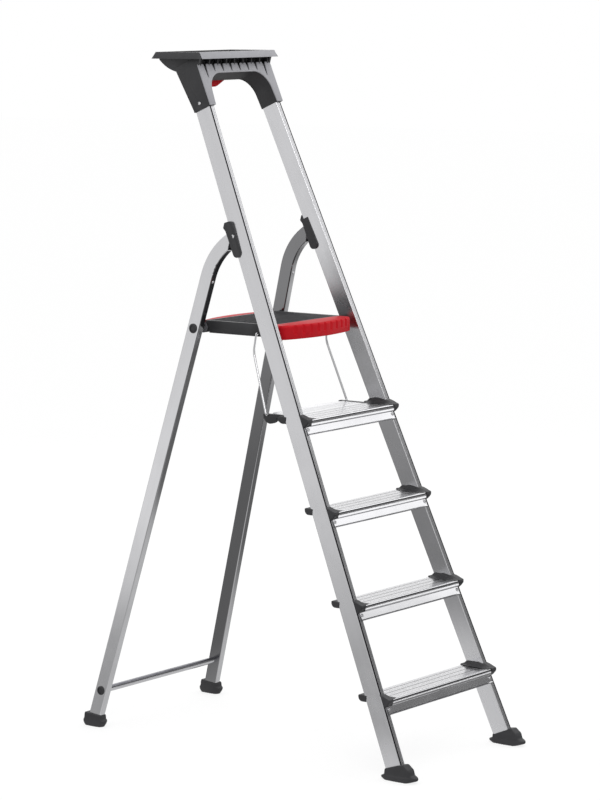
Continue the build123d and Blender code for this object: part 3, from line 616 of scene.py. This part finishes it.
@dataclass
class Moulding(Finish):
    """Moulded plastic or rubber with a fine grain and faint scuffs."""

    colour: Colour
    worn: Colour
    smooth: float
    rough: float
    grain: float = 1400.0
    depth: float = 0.00006
    gloss: float = 0.5

    def make(self, effects: Effects) -> bpy.types.Material:
        """Builds the material from the shared effects."""
        tree, shader, mapping = self.start()
        vector = mapping.outputs["Vector"]
        grain = self.use(tree, effects.grain, vector, Size=self.grain)
        marks = self.use(tree, effects.handling, vector, Patch=11.0, Low=0.4, High=0.8)
        tree.links.new(self.mix(tree, marks.outputs["Mask"], self.colour, self.worn), shader.inputs["Base Color"])
        tree.links.new(self.between(tree, grain.outputs["Mask"], self.smooth, self.rough),
                       shader.inputs["Roughness"])
        shader.inputs["Specular IOR Level"].default_value = self.gloss
        self.bump(tree, shader, grain.outputs["Height"], 0.4, self.depth)
        return self.material


class Finishes:
    """Every finish of the ladder, built once."""

    def __init__(self) -> None:
        """Makes the shared effects and all materials."""
        effects = Effects()
        made = (
            # The inside and front shares darken inward and forward faces, and the recess marks grooves or a tube
            # crown, all as painted shade.
            DrawnMetal("satin_aluminium", (0.83, 0.83, 0.85), (0.72, 0.72, 0.74), 0.22, 0.32, Direction.STILE,
                       0.64, 1.0, Recess.STILE),
            DrawnMetal("ribbed_aluminium", (0.92, 0.92, 0.94), (0.82, 0.82, 0.84), 0.15, 0.24, Direction.ACROSS,
                       1.0, 1.0, Recess.TREAD),
            DrawnMetal("polished_aluminium", (0.86, 0.86, 0.88), (0.76, 0.76, 0.78), 0.10, 0.20, Direction.LEG,
                       0.34, 0.30),
            DrawnMetal("tube_aluminium", (0.72, 0.72, 0.74), (0.60, 0.60, 0.62), 0.10, 0.20, Direction.ACROSS,
                       1.0, 1.0, Recess.TUBE),
            DrawnMetal("bright_steel", (0.80, 0.80, 0.81), (0.66, 0.66, 0.68), 0.16, 0.28, Direction.UPRIGHT),
            Moulding("black_plastic", (0.030, 0.030, 0.033), (0.046, 0.046, 0.050), 0.46, 0.58),
            Moulding("hinge_plastic", (0.16, 0.16, 0.17), (0.22, 0.22, 0.23), 0.40, 0.52),
            Moulding("light_grey_plastic", (0.37, 0.37, 0.395), (0.42, 0.42, 0.445), 0.36, 0.48),
            Moulding("red_plastic", (0.56, 0.006, 0.014), (0.60, 0.012, 0.020), 0.46, 0.58, 1600.0, 0.00003, 0.12),
            Moulding("mat_rubber", (0.042, 0.042, 0.046), (0.070, 0.070, 0.075), 0.60, 0.76, 900.0, 0.0001, 0.3),
            Moulding("foot_rubber", (0.024, 0.024, 0.027), (0.042, 0.042, 0.046), 0.52, 0.68, 800.0, 0.0001),
        )
        self.by_slot = {finish.name: finish.make(effects) for finish in made}

    def dress(self, obj: bpy.types.Object, name: str) -> None:
        """Gives an object one finish over all its faces."""
        obj.data.materials.clear()
        obj.data.materials.append(self.by_slot[name])


# ---------------------------------------------------------------- studio
@dataclass(frozen=True)
class Card:
    """A soft rectangular light that faces a point of the ladder."""

    name: str
    place: Corner
    aim: Corner
    width: float
    height: float
    radiance: float

    def build(self) -> None:
        """Hangs the light."""
        data = bpy.data.lights.new(self.name, "AREA")
        data.shape = "RECTANGLE"
        data.size = self.width
        data.size_y = self.height
        data.energy = self.radiance * math.pi * self.width * self.height
        lamp = bpy.data.objects.new(self.name, data)
        bpy.context.collection.objects.link(lamp)
        lamp.location = self.place
        facing = Vector(self.aim) - Vector(self.place)
        lamp.rotation_euler = facing.to_track_quat("-Z", "Y").to_euler()
        lamp.visible_camera = False


@dataclass(frozen=True)
class Patch:
    """A lighter or darker part of the room that the metal mirrors."""

    towards: Corner
    inner: float
    outer: float
    change: float


@dataclass
class Studio:
    """Pale floor, soft lights and the camera."""

    camera_place: Corner = (-6.6442, -5.1591, 2.0473)
    azimuth: float = 52.18
    drop: float = 7.56
    roll: float = -0.0064
    lens: float = 140.5
    room_low: float = 0.55
    room_high: float = 1.0
    floor_dark: float = 0.16
    floor_front: float = 0.95
    floor_side: float = 0.20
    floor_side_far: float = 0.42
    floor_under: float = 0.5

    def patches(self) -> tuple[Patch, ...]:
        """The light and dark parts of the room."""
        return (
            Patch((0.78, -0.52, 0.25), 18.0, 42.0, -0.45),
            Patch((0.78, 0.00, 0.62), 15.0, 40.0, 0.45),
            Patch((0.783, 0.608, 0.10), 5.0, 16.0, 0.35),
            Patch((-0.78, 0.61, 0.05), 10.0, 45.0, 0.12),
        )

    def cards(self) -> tuple[Card, ...]:
        """The soft lights."""
        return (
            Card("front_card", (1.485, -1.13, 2.42), (-0.2, 0.0, 1.25), 1.9, 1.6, 0.72),
            Card("key_card", (-3.2, -3.6, 4.2), (0.0, 0.0, 1.0), 2.4, 2.4, 3.0),
            Card("rear_card", (2.8, 3.2, 3.2), (0.0, 0.0, 1.0), 2.0, 2.0, 1.5),
        )

    def ramp(self, tree: bpy.types.NodeTree, value: bpy.types.NodeSocket, start: float, end: float,
             top: float) -> bpy.types.NodeSocket:
        """A smooth step of a value, from 0 at start to top at end."""
        step = add_node(tree, "MapRange", interpolation_type="SMOOTHSTEP")
        set_range(step, start, end, 0.0, top)
        tree.links.new(value, step.inputs["Value"])
        return step.outputs[0]

    def floor_glow(self, tree: bpy.types.NodeTree) -> bpy.types.NodeSocket:
        """How bright each place of the floor mirrors in the metal.

        Args:
            tree: The floor material's tree.

        Returns:
            The strength: dark behind the ladder, bright far before it and mid grey beside it.
        """
        place = add_node(tree, "TexCoord").outputs["Object"]
        reach = add_node(tree, "VectorMath", operation="LENGTH")
        tree.links.new(place, reach.inputs[0])
        heading = add_node(tree, "VectorMath", operation="NORMALIZE")
        tree.links.new(place, heading.inputs[0])
        parts = []
        for way in ((0.79, -0.61, 0.0), (-0.79, 0.61, 0.0)):
            dot = add_node(tree, "VectorMath", operation="DOT_PRODUCT")
            tree.links.new(heading.outputs[0], dot.inputs[0])
            dot.inputs[1].default_value = way
            parts.append(dot.outputs["Value"])
        front = self.ramp(tree, parts[0], 0.1, 0.8, self.floor_front)
        far = self.ramp(tree, reach.outputs["Value"], 1.5, 3.0, 1.0)
        bright = compute(tree, "MULTIPLY", front, far)
        beside = self.ramp(tree, parts[1], 0.1, 0.8, 1.0)
        lift = compute(tree, "ADD", self.ramp(tree, reach.outputs["Value"], 2.2, 6.5, self.floor_side_far),
                       self.floor_side)
        side = compute(tree, "MULTIPLY", beside, lift)
        under = self.ramp(tree, reach.outputs["Value"], 1.0, 0.55, self.floor_under)
        lit = compute(tree, "MAXIMUM", compute(tree, "ADD", bright, side), under)
        return compute(tree, "ADD", lit, self.floor_dark)

    def floor(self) -> None:
        """Lays the pale floor, which mirrors in the metal as darker than it looks."""
        bpy.ops.object.select_all(action="DESELECT")
        bpy.ops.mesh.primitive_plane_add(size=60.0, location=(0.0, 0.0, 0.0))
        floor = bpy.context.object
        floor.name = "floor"
        material = bpy.data.materials.new("floor_paint")
        material.use_nodes = True
        tree = material.node_tree
        tree.nodes.clear()
        glow_from = self.floor_glow(tree)
        glow = add_node(tree, "Emission")
        tree.links.new(glow_from, glow.inputs["Strength"])
        paint = add_node(tree, "BsdfDiffuse")
        paint.inputs["Color"].default_value = (0.22, 0.22, 0.22, 1.0)
        white = add_node(tree, "Emission", Strength=0.80)
        seen = add_node(tree, "AddShader")
        tree.links.new(paint.outputs[0], seen.inputs[0])
        tree.links.new(white.outputs[0], seen.inputs[1])
        ray = add_node(tree, "LightPath")
        choice = add_node(tree, "MixShader")
        tree.links.new(ray.outputs["Is Camera Ray"], choice.inputs[0])
        tree.links.new(glow.outputs[0], choice.inputs[1])
        tree.links.new(seen.outputs[0], choice.inputs[2])
        sink = add_node(tree, "OutputMaterial")
        tree.links.new(choice.outputs[0], sink.inputs["Surface"])
        floor.data.materials.append(material)

    def room(self) -> None:
        """Sets the surround: white to the camera, and a soft room to everything else."""
        world = bpy.data.worlds.new("studio")
        bpy.context.scene.world = world
        world.use_nodes = True
        tree = world.node_tree
        background = tree.nodes["Background"]
        place = add_node(tree, "TexCoord")
        split = add_node(tree, "SeparateXYZ")
        tree.links.new(place.outputs["Generated"], split.inputs[0])
        height = add_node(tree, "MapRange")
        set_range(height, 0.0, 1.0, self.room_low, self.room_high)
        tree.links.new(split.outputs["Z"], height.inputs["Value"])
        total = height.outputs[0]
        for patch in self.patches():
            aim = add_node(tree, "VectorMath", operation="DOT_PRODUCT")
            tree.links.new(place.outputs["Generated"], aim.inputs[0])
            aim.inputs[1].default_value = Vector(patch.towards).normalized()
            spot = add_node(tree, "MapRange", interpolation_type="SMOOTHSTEP")
            outer, inner = math.radians(patch.outer), math.radians(patch.inner)
            set_range(spot, math.cos(outer), math.cos(inner), 0.0, patch.change)
            tree.links.new(aim.outputs["Value"], spot.inputs["Value"])
            total = compute(tree, "ADD", total, spot.outputs[0])
        ray = add_node(tree, "LightPath")
        choice = add_node(tree, "Mix", data_type="FLOAT")
        choice.inputs[3].default_value = 1.0
        tree.links.new(ray.outputs["Is Camera Ray"], choice.inputs[0])
        tree.links.new(total, choice.inputs[2])
        tree.links.new(choice.outputs[0], background.inputs["Strength"])
        background.inputs["Color"].default_value = (1.0, 1.0, 1.0, 1.0)

    def camera(self) -> None:
        """Places the camera."""
        data = bpy.data.cameras.new("camera")
        data.lens = self.lens
        data.clip_end = 200.0
        camera = bpy.data.objects.new("camera", data)
        bpy.context.collection.objects.link(camera)
        turn, drop = math.radians(self.azimuth), math.radians(self.drop)
        forward = Vector((math.sin(turn) * math.cos(drop), math.cos(turn) * math.cos(drop), -math.sin(drop)))
        right = Vector((math.cos(turn), -math.sin(turn), 0.0))
        up = right.cross(forward)
        level = Matrix((right, up, -forward)).transposed()
        camera.matrix_world = (
            Matrix.Translation(self.camera_place) @ level.to_4x4() @ Matrix.Rotation(self.roll, 4, "Z")
        )
        bpy.context.scene.camera = camera

    def build(self) -> None:
        """Sets up the whole studio."""
        bpy.context.scene.view_settings.view_transform = "Standard"
        self.floor()
        self.room()
        for card in self.cards():
            card.build()
        self.camera()


# ---------------------------------------------------------------- modelling by hand
def fresh() -> None:
    """Deselects everything, so that an operator acts only on the piece in hand."""
    if bpy.context.object and bpy.context.object.mode != "OBJECT":
        bpy.ops.object.mode_set(mode="OBJECT")
    bpy.ops.object.select_all(action="DESELECT")


def hold(obj: bpy.types.Object) -> None:
    """Selects one object and makes it active."""
    fresh()
    obj.select_set(True)
    bpy.context.view_layer.objects.active = obj


def pick(obj: bpy.types.Object, kind: str, test: Callable[[Vector, Vector], bool]) -> None:
    """Selects the faces or edges that pass a test; leaves the object in edit mode.

    Args:
        obj: The object.
        kind: FACE or EDGE.
        test: Takes a face's centre and normal, or an edge's two ends.
    """
    hold(obj)
    bpy.ops.object.mode_set(mode="EDIT")
    bpy.ops.mesh.select_mode(type=kind)
    bpy.ops.mesh.select_all(action="DESELECT")
    mesh = bmesh.from_edit_mesh(obj.data)
    if kind == "FACE":
        found = [face for face in mesh.faces if test(face.calc_center_median(), face.normal)]
    else:
        found = [edge for edge in mesh.edges if test(edge.verts[0].co, edge.verts[1].co)]
    for part in found:
        part.select_set(True)
    bmesh.update_edit_mesh(obj.data)


def weld(piece: bpy.types.Object) -> None:
    """Joins the doubled corners of a CAD copy and leaves it in edit mode, selected all over."""
    hold(piece)
    bpy.ops.object.mode_set(mode="EDIT")
    bpy.ops.mesh.select_all(action="SELECT")
    bpy.ops.mesh.remove_doubles(threshold=WELD)


def smooth(obj: bpy.types.Object, angle: float = 35.0) -> None:
    """Leaves edit mode and shades the piece smooth up to an angle."""
    hold(obj)
    bpy.ops.object.shade_smooth_by_angle(angle=math.radians(angle))


def copy_of(source: bpy.types.Object, name: str, place: Matrix) -> bpy.types.Object:
    """A copy of a modelled piece with its own mesh, moved by a matrix.

    Args:
        source: The modelled piece.
        name: The copy's name.
        place: Where the copy goes.

    Returns:
        The copy.
    """
    copy = source.copy()
    copy.data = source.data.copy()
    copy.name = name
    copy.data.transform(place)
    if place.determinant() < 0:
        copy.data.flip_normals()
    bpy.context.collection.objects.link(copy)
    return copy


def discard(obj: bpy.types.Object) -> None:
    """Removes a pattern piece once its copies are made."""
    bpy.data.objects.remove(obj)


def join(pieces: list[bpy.types.Object], name: str) -> bpy.types.Object:
    """Joins pieces into one object."""
    fresh()
    for piece in pieces:
        piece.select_set(True)
    bpy.context.view_layer.objects.active = pieces[0]
    bpy.ops.object.join()
    pieces[0].name = name
    return pieces[0]


@dataclass
class Maker:
    """What every sub-assembly shares: the frame, the finishes and a way to hand a piece in."""

    frame: dict[str, Any]
    finishes: Finishes

    def body_of(self, node: str) -> str:
        """The body that a CAD node moves with."""
        for body, members in self.frame["record"]["behaviour"]["bodies"].items():
            if node in members:
                return body
        return "root"

    def hand_in(self, piece: bpy.types.Object, slot: str, nodes: tuple[str, ...] = (), body: str = "") -> None:
        """Dresses a finished piece, parents it to the body it rides on and hides the CAD nodes it replaces.

        Args:
            piece: The finished piece.
            slot: The record's material slot, which is the finish's name.
            nodes: The CAD nodes that it stands for.
            body: The body that it rides on, where it replaces no node.
        """
        self.finishes.dress(piece, slot)
        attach(piece, body or self.body_of(nodes[0]))
        if nodes:
            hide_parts(*nodes)
        LOG.info("made %s in %s", piece.name, slot)


@dataclass
class Mouldings(Maker):
    """The moulded parts, with the rounded edges that their moulds give them."""

    radii: tuple[tuple[str, float, int], ...] = (
        ("stay_bracket", 0.0022, 3),
        ("tray_bracket", 0.0010, 2),
        ("tool_tray", 0.0008, 2),
        ("tray_front_panel", 0.0008, 2),
        ("tray_front_trim", 0.0008, 2),
        ("platform_deck", 0.0012, 2),
        ("platform_front_nosing", 0.0012, 2),
        ("platform_rear_nosing", 0.0016, 2),
        ("bucket_hook", 0.0010, 2),
        ("leg_hinge_tongue", 0.0008, 2),
    )

    def round_edges(self, node: str, radius: float, steps: int) -> bpy.types.Object:
        """Makes a rounded copy of a CAD node.

        Args:
            node: The node's name.
            radius: Radius of its edges.
            steps: Steps round each edge.

        Returns:
            The copy, at the origin with its place in its mesh.
        """
        piece = copy_of(self.frame["nodes"][node], "moulded_" + node, Matrix.Identity(4))
        weld(piece)
        bpy.ops.mesh.dissolve_limited(angle_limit=math.radians(1.0))
        bpy.ops.object.mode_set(mode="OBJECT")
        edge = piece.modifiers.new("round", "BEVEL")
        edge.width = radius
        edge.segments = steps
        edge.limit_method = "ANGLE"
        edge.angle_limit = math.radians(32.0)
        edge.use_clamp_overlap = True
        bpy.ops.object.modifier_apply(modifier=edge.name)
        smooth(piece, 40.0)
        return piece

    def build(self, slots: dict[str, str]) -> None:
        """Replaces each moulded CAD node by its rounded piece."""
        for start, radius, steps in self.radii:
            for node in sorted(self.frame["nodes"]):
                if node.startswith(start):
                    self.hand_in(self.round_edges(node, radius, steps), slots[node], (node,))


@dataclass
class SoftLumps(Maker):
    """Feet and tread ends: thick mouldings whose corners melt into one rounded form."""

    grain: float = 0.0016
    kinds: tuple[tuple[str, int], ...] = (("front_foot", 12), ("rear_foot", 8), ("tread_cap", 5))
    slope_share: float = 0.55
    nose_share: float = 0.3
    sole_pull: float = 0.85
    sole_height: float = 0.030
    collar_drop: float = 0.5
    toe_trim: float = 0.012

    def melt(self, node: str, passes: int) -> bpy.types.Object:
        """Makes a copy of a node with its corners melted.

        Args:
            node: The node's name.
            passes: How often its corners are softened.

        Returns:
            The copy, inside the node's box.
        """
        piece = copy_of(self.frame["nodes"][node], "soft_" + node, Matrix.Identity(4))
        weld(piece)
        bpy.ops.object.mode_set(mode="OBJECT")
        net = piece.modifiers.new("net", "REMESH")
        net.mode = "VOXEL"
        net.voxel_size = self.grain
        melted = piece.modifiers.new("melt", "SMOOTH")
        melted.factor = 0.6
        melted.iterations = passes
        for name in ("net", "melt"):
            bpy.ops.object.modifier_apply(modifier=name)
        if node.startswith("tread_cap"):
            self.slope_front(piece, node)
        else:
            self.round_plan(piece, node)
        self.keep_inside(piece, node)
        smooth(piece, 60.0)
        return piece

    def slope_front(self, piece: bpy.types.Object, node: str) -> None:
        """Lets a tread end's back run down to the nose, level with the tread in front."""
        low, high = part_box(node)
        level = FIRST_TREAD + (int(node[-1]) - 1) * TREAD_PITCH
        for vertex in piece.data.vertices:
            if vertex.co.z > level:
                along = min(1.0, (vertex.co.y - low[1]) / (self.slope_share * (high[1] - low[1])))
                vertex.co.z = level + (vertex.co.z - level) * (self.nose_share + (1.0 - self.nose_share) * along)

    def round_plan(self, piece: bpy.types.Object, node: str) -> None:
        """Pulls in the corners of a foot's sole and lowers the front of its collar."""
        low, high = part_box(node)
        middle = [(low[axis] + high[axis]) / 2 for axis in range(2)]
        half = [(high[axis] - low[axis]) / 2 for axis in range(2)]
        for vertex in piece.data.vertices:
            across = (vertex.co.x - middle[0]) / half[0]
            along = (vertex.co.y - middle[1]) / half[1]
            pull = self.sole_pull * max(0.0, 1.0 - vertex.co.z / self.sole_height)
            vertex.co.x = middle[0] + half[0] * across * math.sqrt(1.0 - pull * along * along / 2)
            vertex.co.y = middle[1] + half[1] * along * math.sqrt(1.0 - pull * across * across / 2)
            if node.startswith("front") and vertex.co.z > self.sole_height:
                drop = self.collar_drop * max(0.0, -along)
                vertex.co.z -= drop * (vertex.co.z - self.sole_height)
            if node.startswith("rear") and along < 0.0:
                low_part = max(0.0, 1.0 - vertex.co.z / self.sole_height)
                vertex.co.y += self.toe_trim * low_part * along * along

    def keep_inside(self, piece: bpy.types.Object, node: str) -> None:
        """Moves the piece's corners that stand outside its node's box back onto it."""
        low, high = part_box(node)
        for vertex in piece.data.vertices:
            vertex.co = [min(max(value, low[axis]), high[axis]) for axis, value in enumerate(vertex.co)]

    def build(self, slots: dict[str, str]) -> None:
        """Replaces each foot and tread end by its melted piece."""
        for start, passes in self.kinds:
            for node in sorted(self.frame["nodes"]):
                if node.startswith(start):
                    self.hand_in(self.melt(node, passes), slots[node], (node,))


@dataclass
class Fasteners(Maker):
    """Rivets, screws and the round plugs of the cross tubes."""

    rivet_radius: float = 0.0046
    rivet_rise: float = 0.0018
    screw_radius: float = 0.0046
    plug_rise: float = 0.0024

    def dome(self, name: str, radius: float, rise: float, hole: float, round_by: float) -> bpy.types.Object:
        """A round head on its axis Z with a sunk middle.

        Args:
            name: The piece's name.
            radius: Radius of the head.
            rise: Height of the head.
            hole: Radius of the sunk middle.
            round_by: Radius of the head's rim.

        Returns:
            The head, with its foot at z = 0.
        """
        fresh()
        bpy.ops.mesh.primitive_cylinder_add(vertices=32, radius=radius, depth=rise, location=(0, 0, rise / 2))
        head = bpy.context.object
        head.name = name
        bpy.ops.object.transform_apply(location=True, rotation=True, scale=True)
        pick(head, "EDGE", lambda a, b: min(a.z, b.z) > rise * 0.9)
        bpy.ops.mesh.bevel(offset=round_by, segments=3, affect="EDGES")
        pick(head, "FACE", lambda centre, normal: normal.z > 0.9 and centre.z > rise * 0.9)
        bpy.ops.mesh.inset(thickness=radius - round_by - hole)
        bpy.ops.mesh.inset(thickness=hole * 0.12)
        bpy.ops.transform.translate(value=(0.0, 0.0, -rise * 0.35))
        smooth(head)
        return head

    def cross_slot(self, head: bpy.types.Object, radius: float, rise: float) -> None:
        """Cuts a cross into a screw's head."""
        for turn in (0.0, math.pi / 2):
            fresh()
            bpy.ops.mesh.primitive_cube_add(size=1.0, location=(0, 0, rise * 0.72), rotation=(0, 0, turn),
                                            scale=(radius * 1.1, radius * 0.24, rise * 0.7))
            cutter = bpy.context.object
            hold(head)
            cut = head.modifiers.new("slot", "BOOLEAN")
            cut.operation = "DIFFERENCE"
            cut.object = cutter
            bpy.ops.object.modifier_apply(modifier=cut.name)
            discard(cutter)

    def shells(self, node: str) -> list[list[Vector]]:
        """The separate solids of a CAD node, as lists of corners."""
        mesh = bmesh.new()
        mesh.from_mesh(self.frame["nodes"][node].data)
        bmesh.ops.remove_doubles(mesh, verts=mesh.verts, dist=WELD)
        left = set(mesh.verts)
        found = []
        while left:
            stack = [left.pop()]
            shell = []
            while stack:
                vert = stack.pop()
                shell.append(vert.co.copy())
                for edge in vert.link_edges:
                    other = edge.other_vert(vert)
                    if other in left:
                        left.remove(other)
                        stack.append(other)
            found.append(shell)
        mesh.free()
        return found

    def seat(self, shell: list[Vector], out: Vector, depth: float) -> Matrix:
        """Where a head sits on a solid's outer end.

        Args:
            shell: Corners of the solid.
            out: The direction in which the head faces.
            depth: How far below the solid's outermost corner the head's foot lies.

        Returns:
            The matrix that takes a head from the origin to its seat.
        """
        top = max(corner.dot(out) for corner in shell)
        rim = [corner for corner in shell if corner.dot(out) > top - 0.0002]
        centre = sum(rim, Vector()) / len(rim)
        turn = out.to_track_quat("Z", "Y").to_matrix().to_4x4()
        return Matrix.Translation(centre - out * depth) @ turn

    def build(self) -> None:
        """Makes every fastener."""
        forward = Vector((0.0, -math.cos(STILE_LEAN), math.sin(STILE_LEAN)))
        leg_front = Vector((0.0, -math.cos(LEG_LEAN), -math.sin(LEG_LEAN)))
        rivet = self.dome("rivet", self.rivet_radius, self.rivet_rise, 0.0016, 0.0013)
        for node, out in (("tread_rivets", forward), ("leg_rivets", leg_front)):
            heads = [
                copy_of(rivet, f"{node}_{index}", self.seat(shell, out, 0.0016))
                for index, shell in enumerate(self.shells(node))
            ]
            self.hand_in(join(heads, "domed_" + node), "bright_steel", (node,))
        discard(rivet)
        screw = self.dome("screw", self.screw_radius, 0.0018, 0.0026, 0.0010)
        self.cross_slot(screw, self.screw_radius, 0.0018)
        screws = []
        for index, shell in enumerate(self.shells("tray_screws")):
            side = 1.0 if shell[0].x > 0 else -1.0
            screws.append(copy_of(screw, f"screw_{index}", self.seat(shell, Vector((side, 0.0, 0.0)), 0.0018)))
        discard(screw)
        self.hand_in(join(screws, "cross_tray_screws"), "bright_steel", ("tray_screws",))
        for kind in ("axle", "brace"):
            for side, sign in (("left", -1.0), ("right", 1.0)):
                node = f"{kind}_plug_{side}"
                low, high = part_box(node)
                radius = (high[2] - low[2]) / 2
                plug = self.dome("plug", radius, self.plug_rise, radius * 0.62, 0.0011)
                shell = self.shells(node)[0]
                place = self.seat(shell, Vector((sign, 0.0, 0.0)), self.plug_rise)
                place.translation.y = (low[1] + high[1]) / 2
                place.translation.z = (low[2] + high[2]) / 2
                made = copy_of(plug, "round_" + node, place)
                discard(plug)
                self.hand_in(made, "black_plastic", (node,))


@dataclass
class Nodes(Maker):
    """Dresses the CAD nodes in the finishes that the record names."""

    def slots(self) -> dict[str, str]:
        """The material slot of each node."""
        return {part["node"]: part["material_slot"] for part in self.frame["record"]["subparts"]}

    def build(self) -> None:
        """Gives each CAD node its finish."""
        slots = self.slots()
        for node, obj in self.frame["nodes"].items():
            # The cross tubes take a darker aluminium, with painted shade on their crowns.
            finish = "tube_aluminium" if node in CROSS_TUBES else slots[node]
            self.finishes.dress(obj, finish)
            LOG.info("dressed %s in %s", node, finish)


def main() -> None:
    """Builds the scene."""
    logging.basicConfig(level=logging.INFO)
    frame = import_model()
    Studio().build()
    finishes = Finishes()
    nodes = Nodes(frame, finishes)
    nodes.build()
    Mouldings(frame, finishes).build(nodes.slots())
    SoftLumps(frame, finishes).build(nodes.slots())
    Fasteners(frame, finishes).build()


if __name__ == "__main__":
    main()
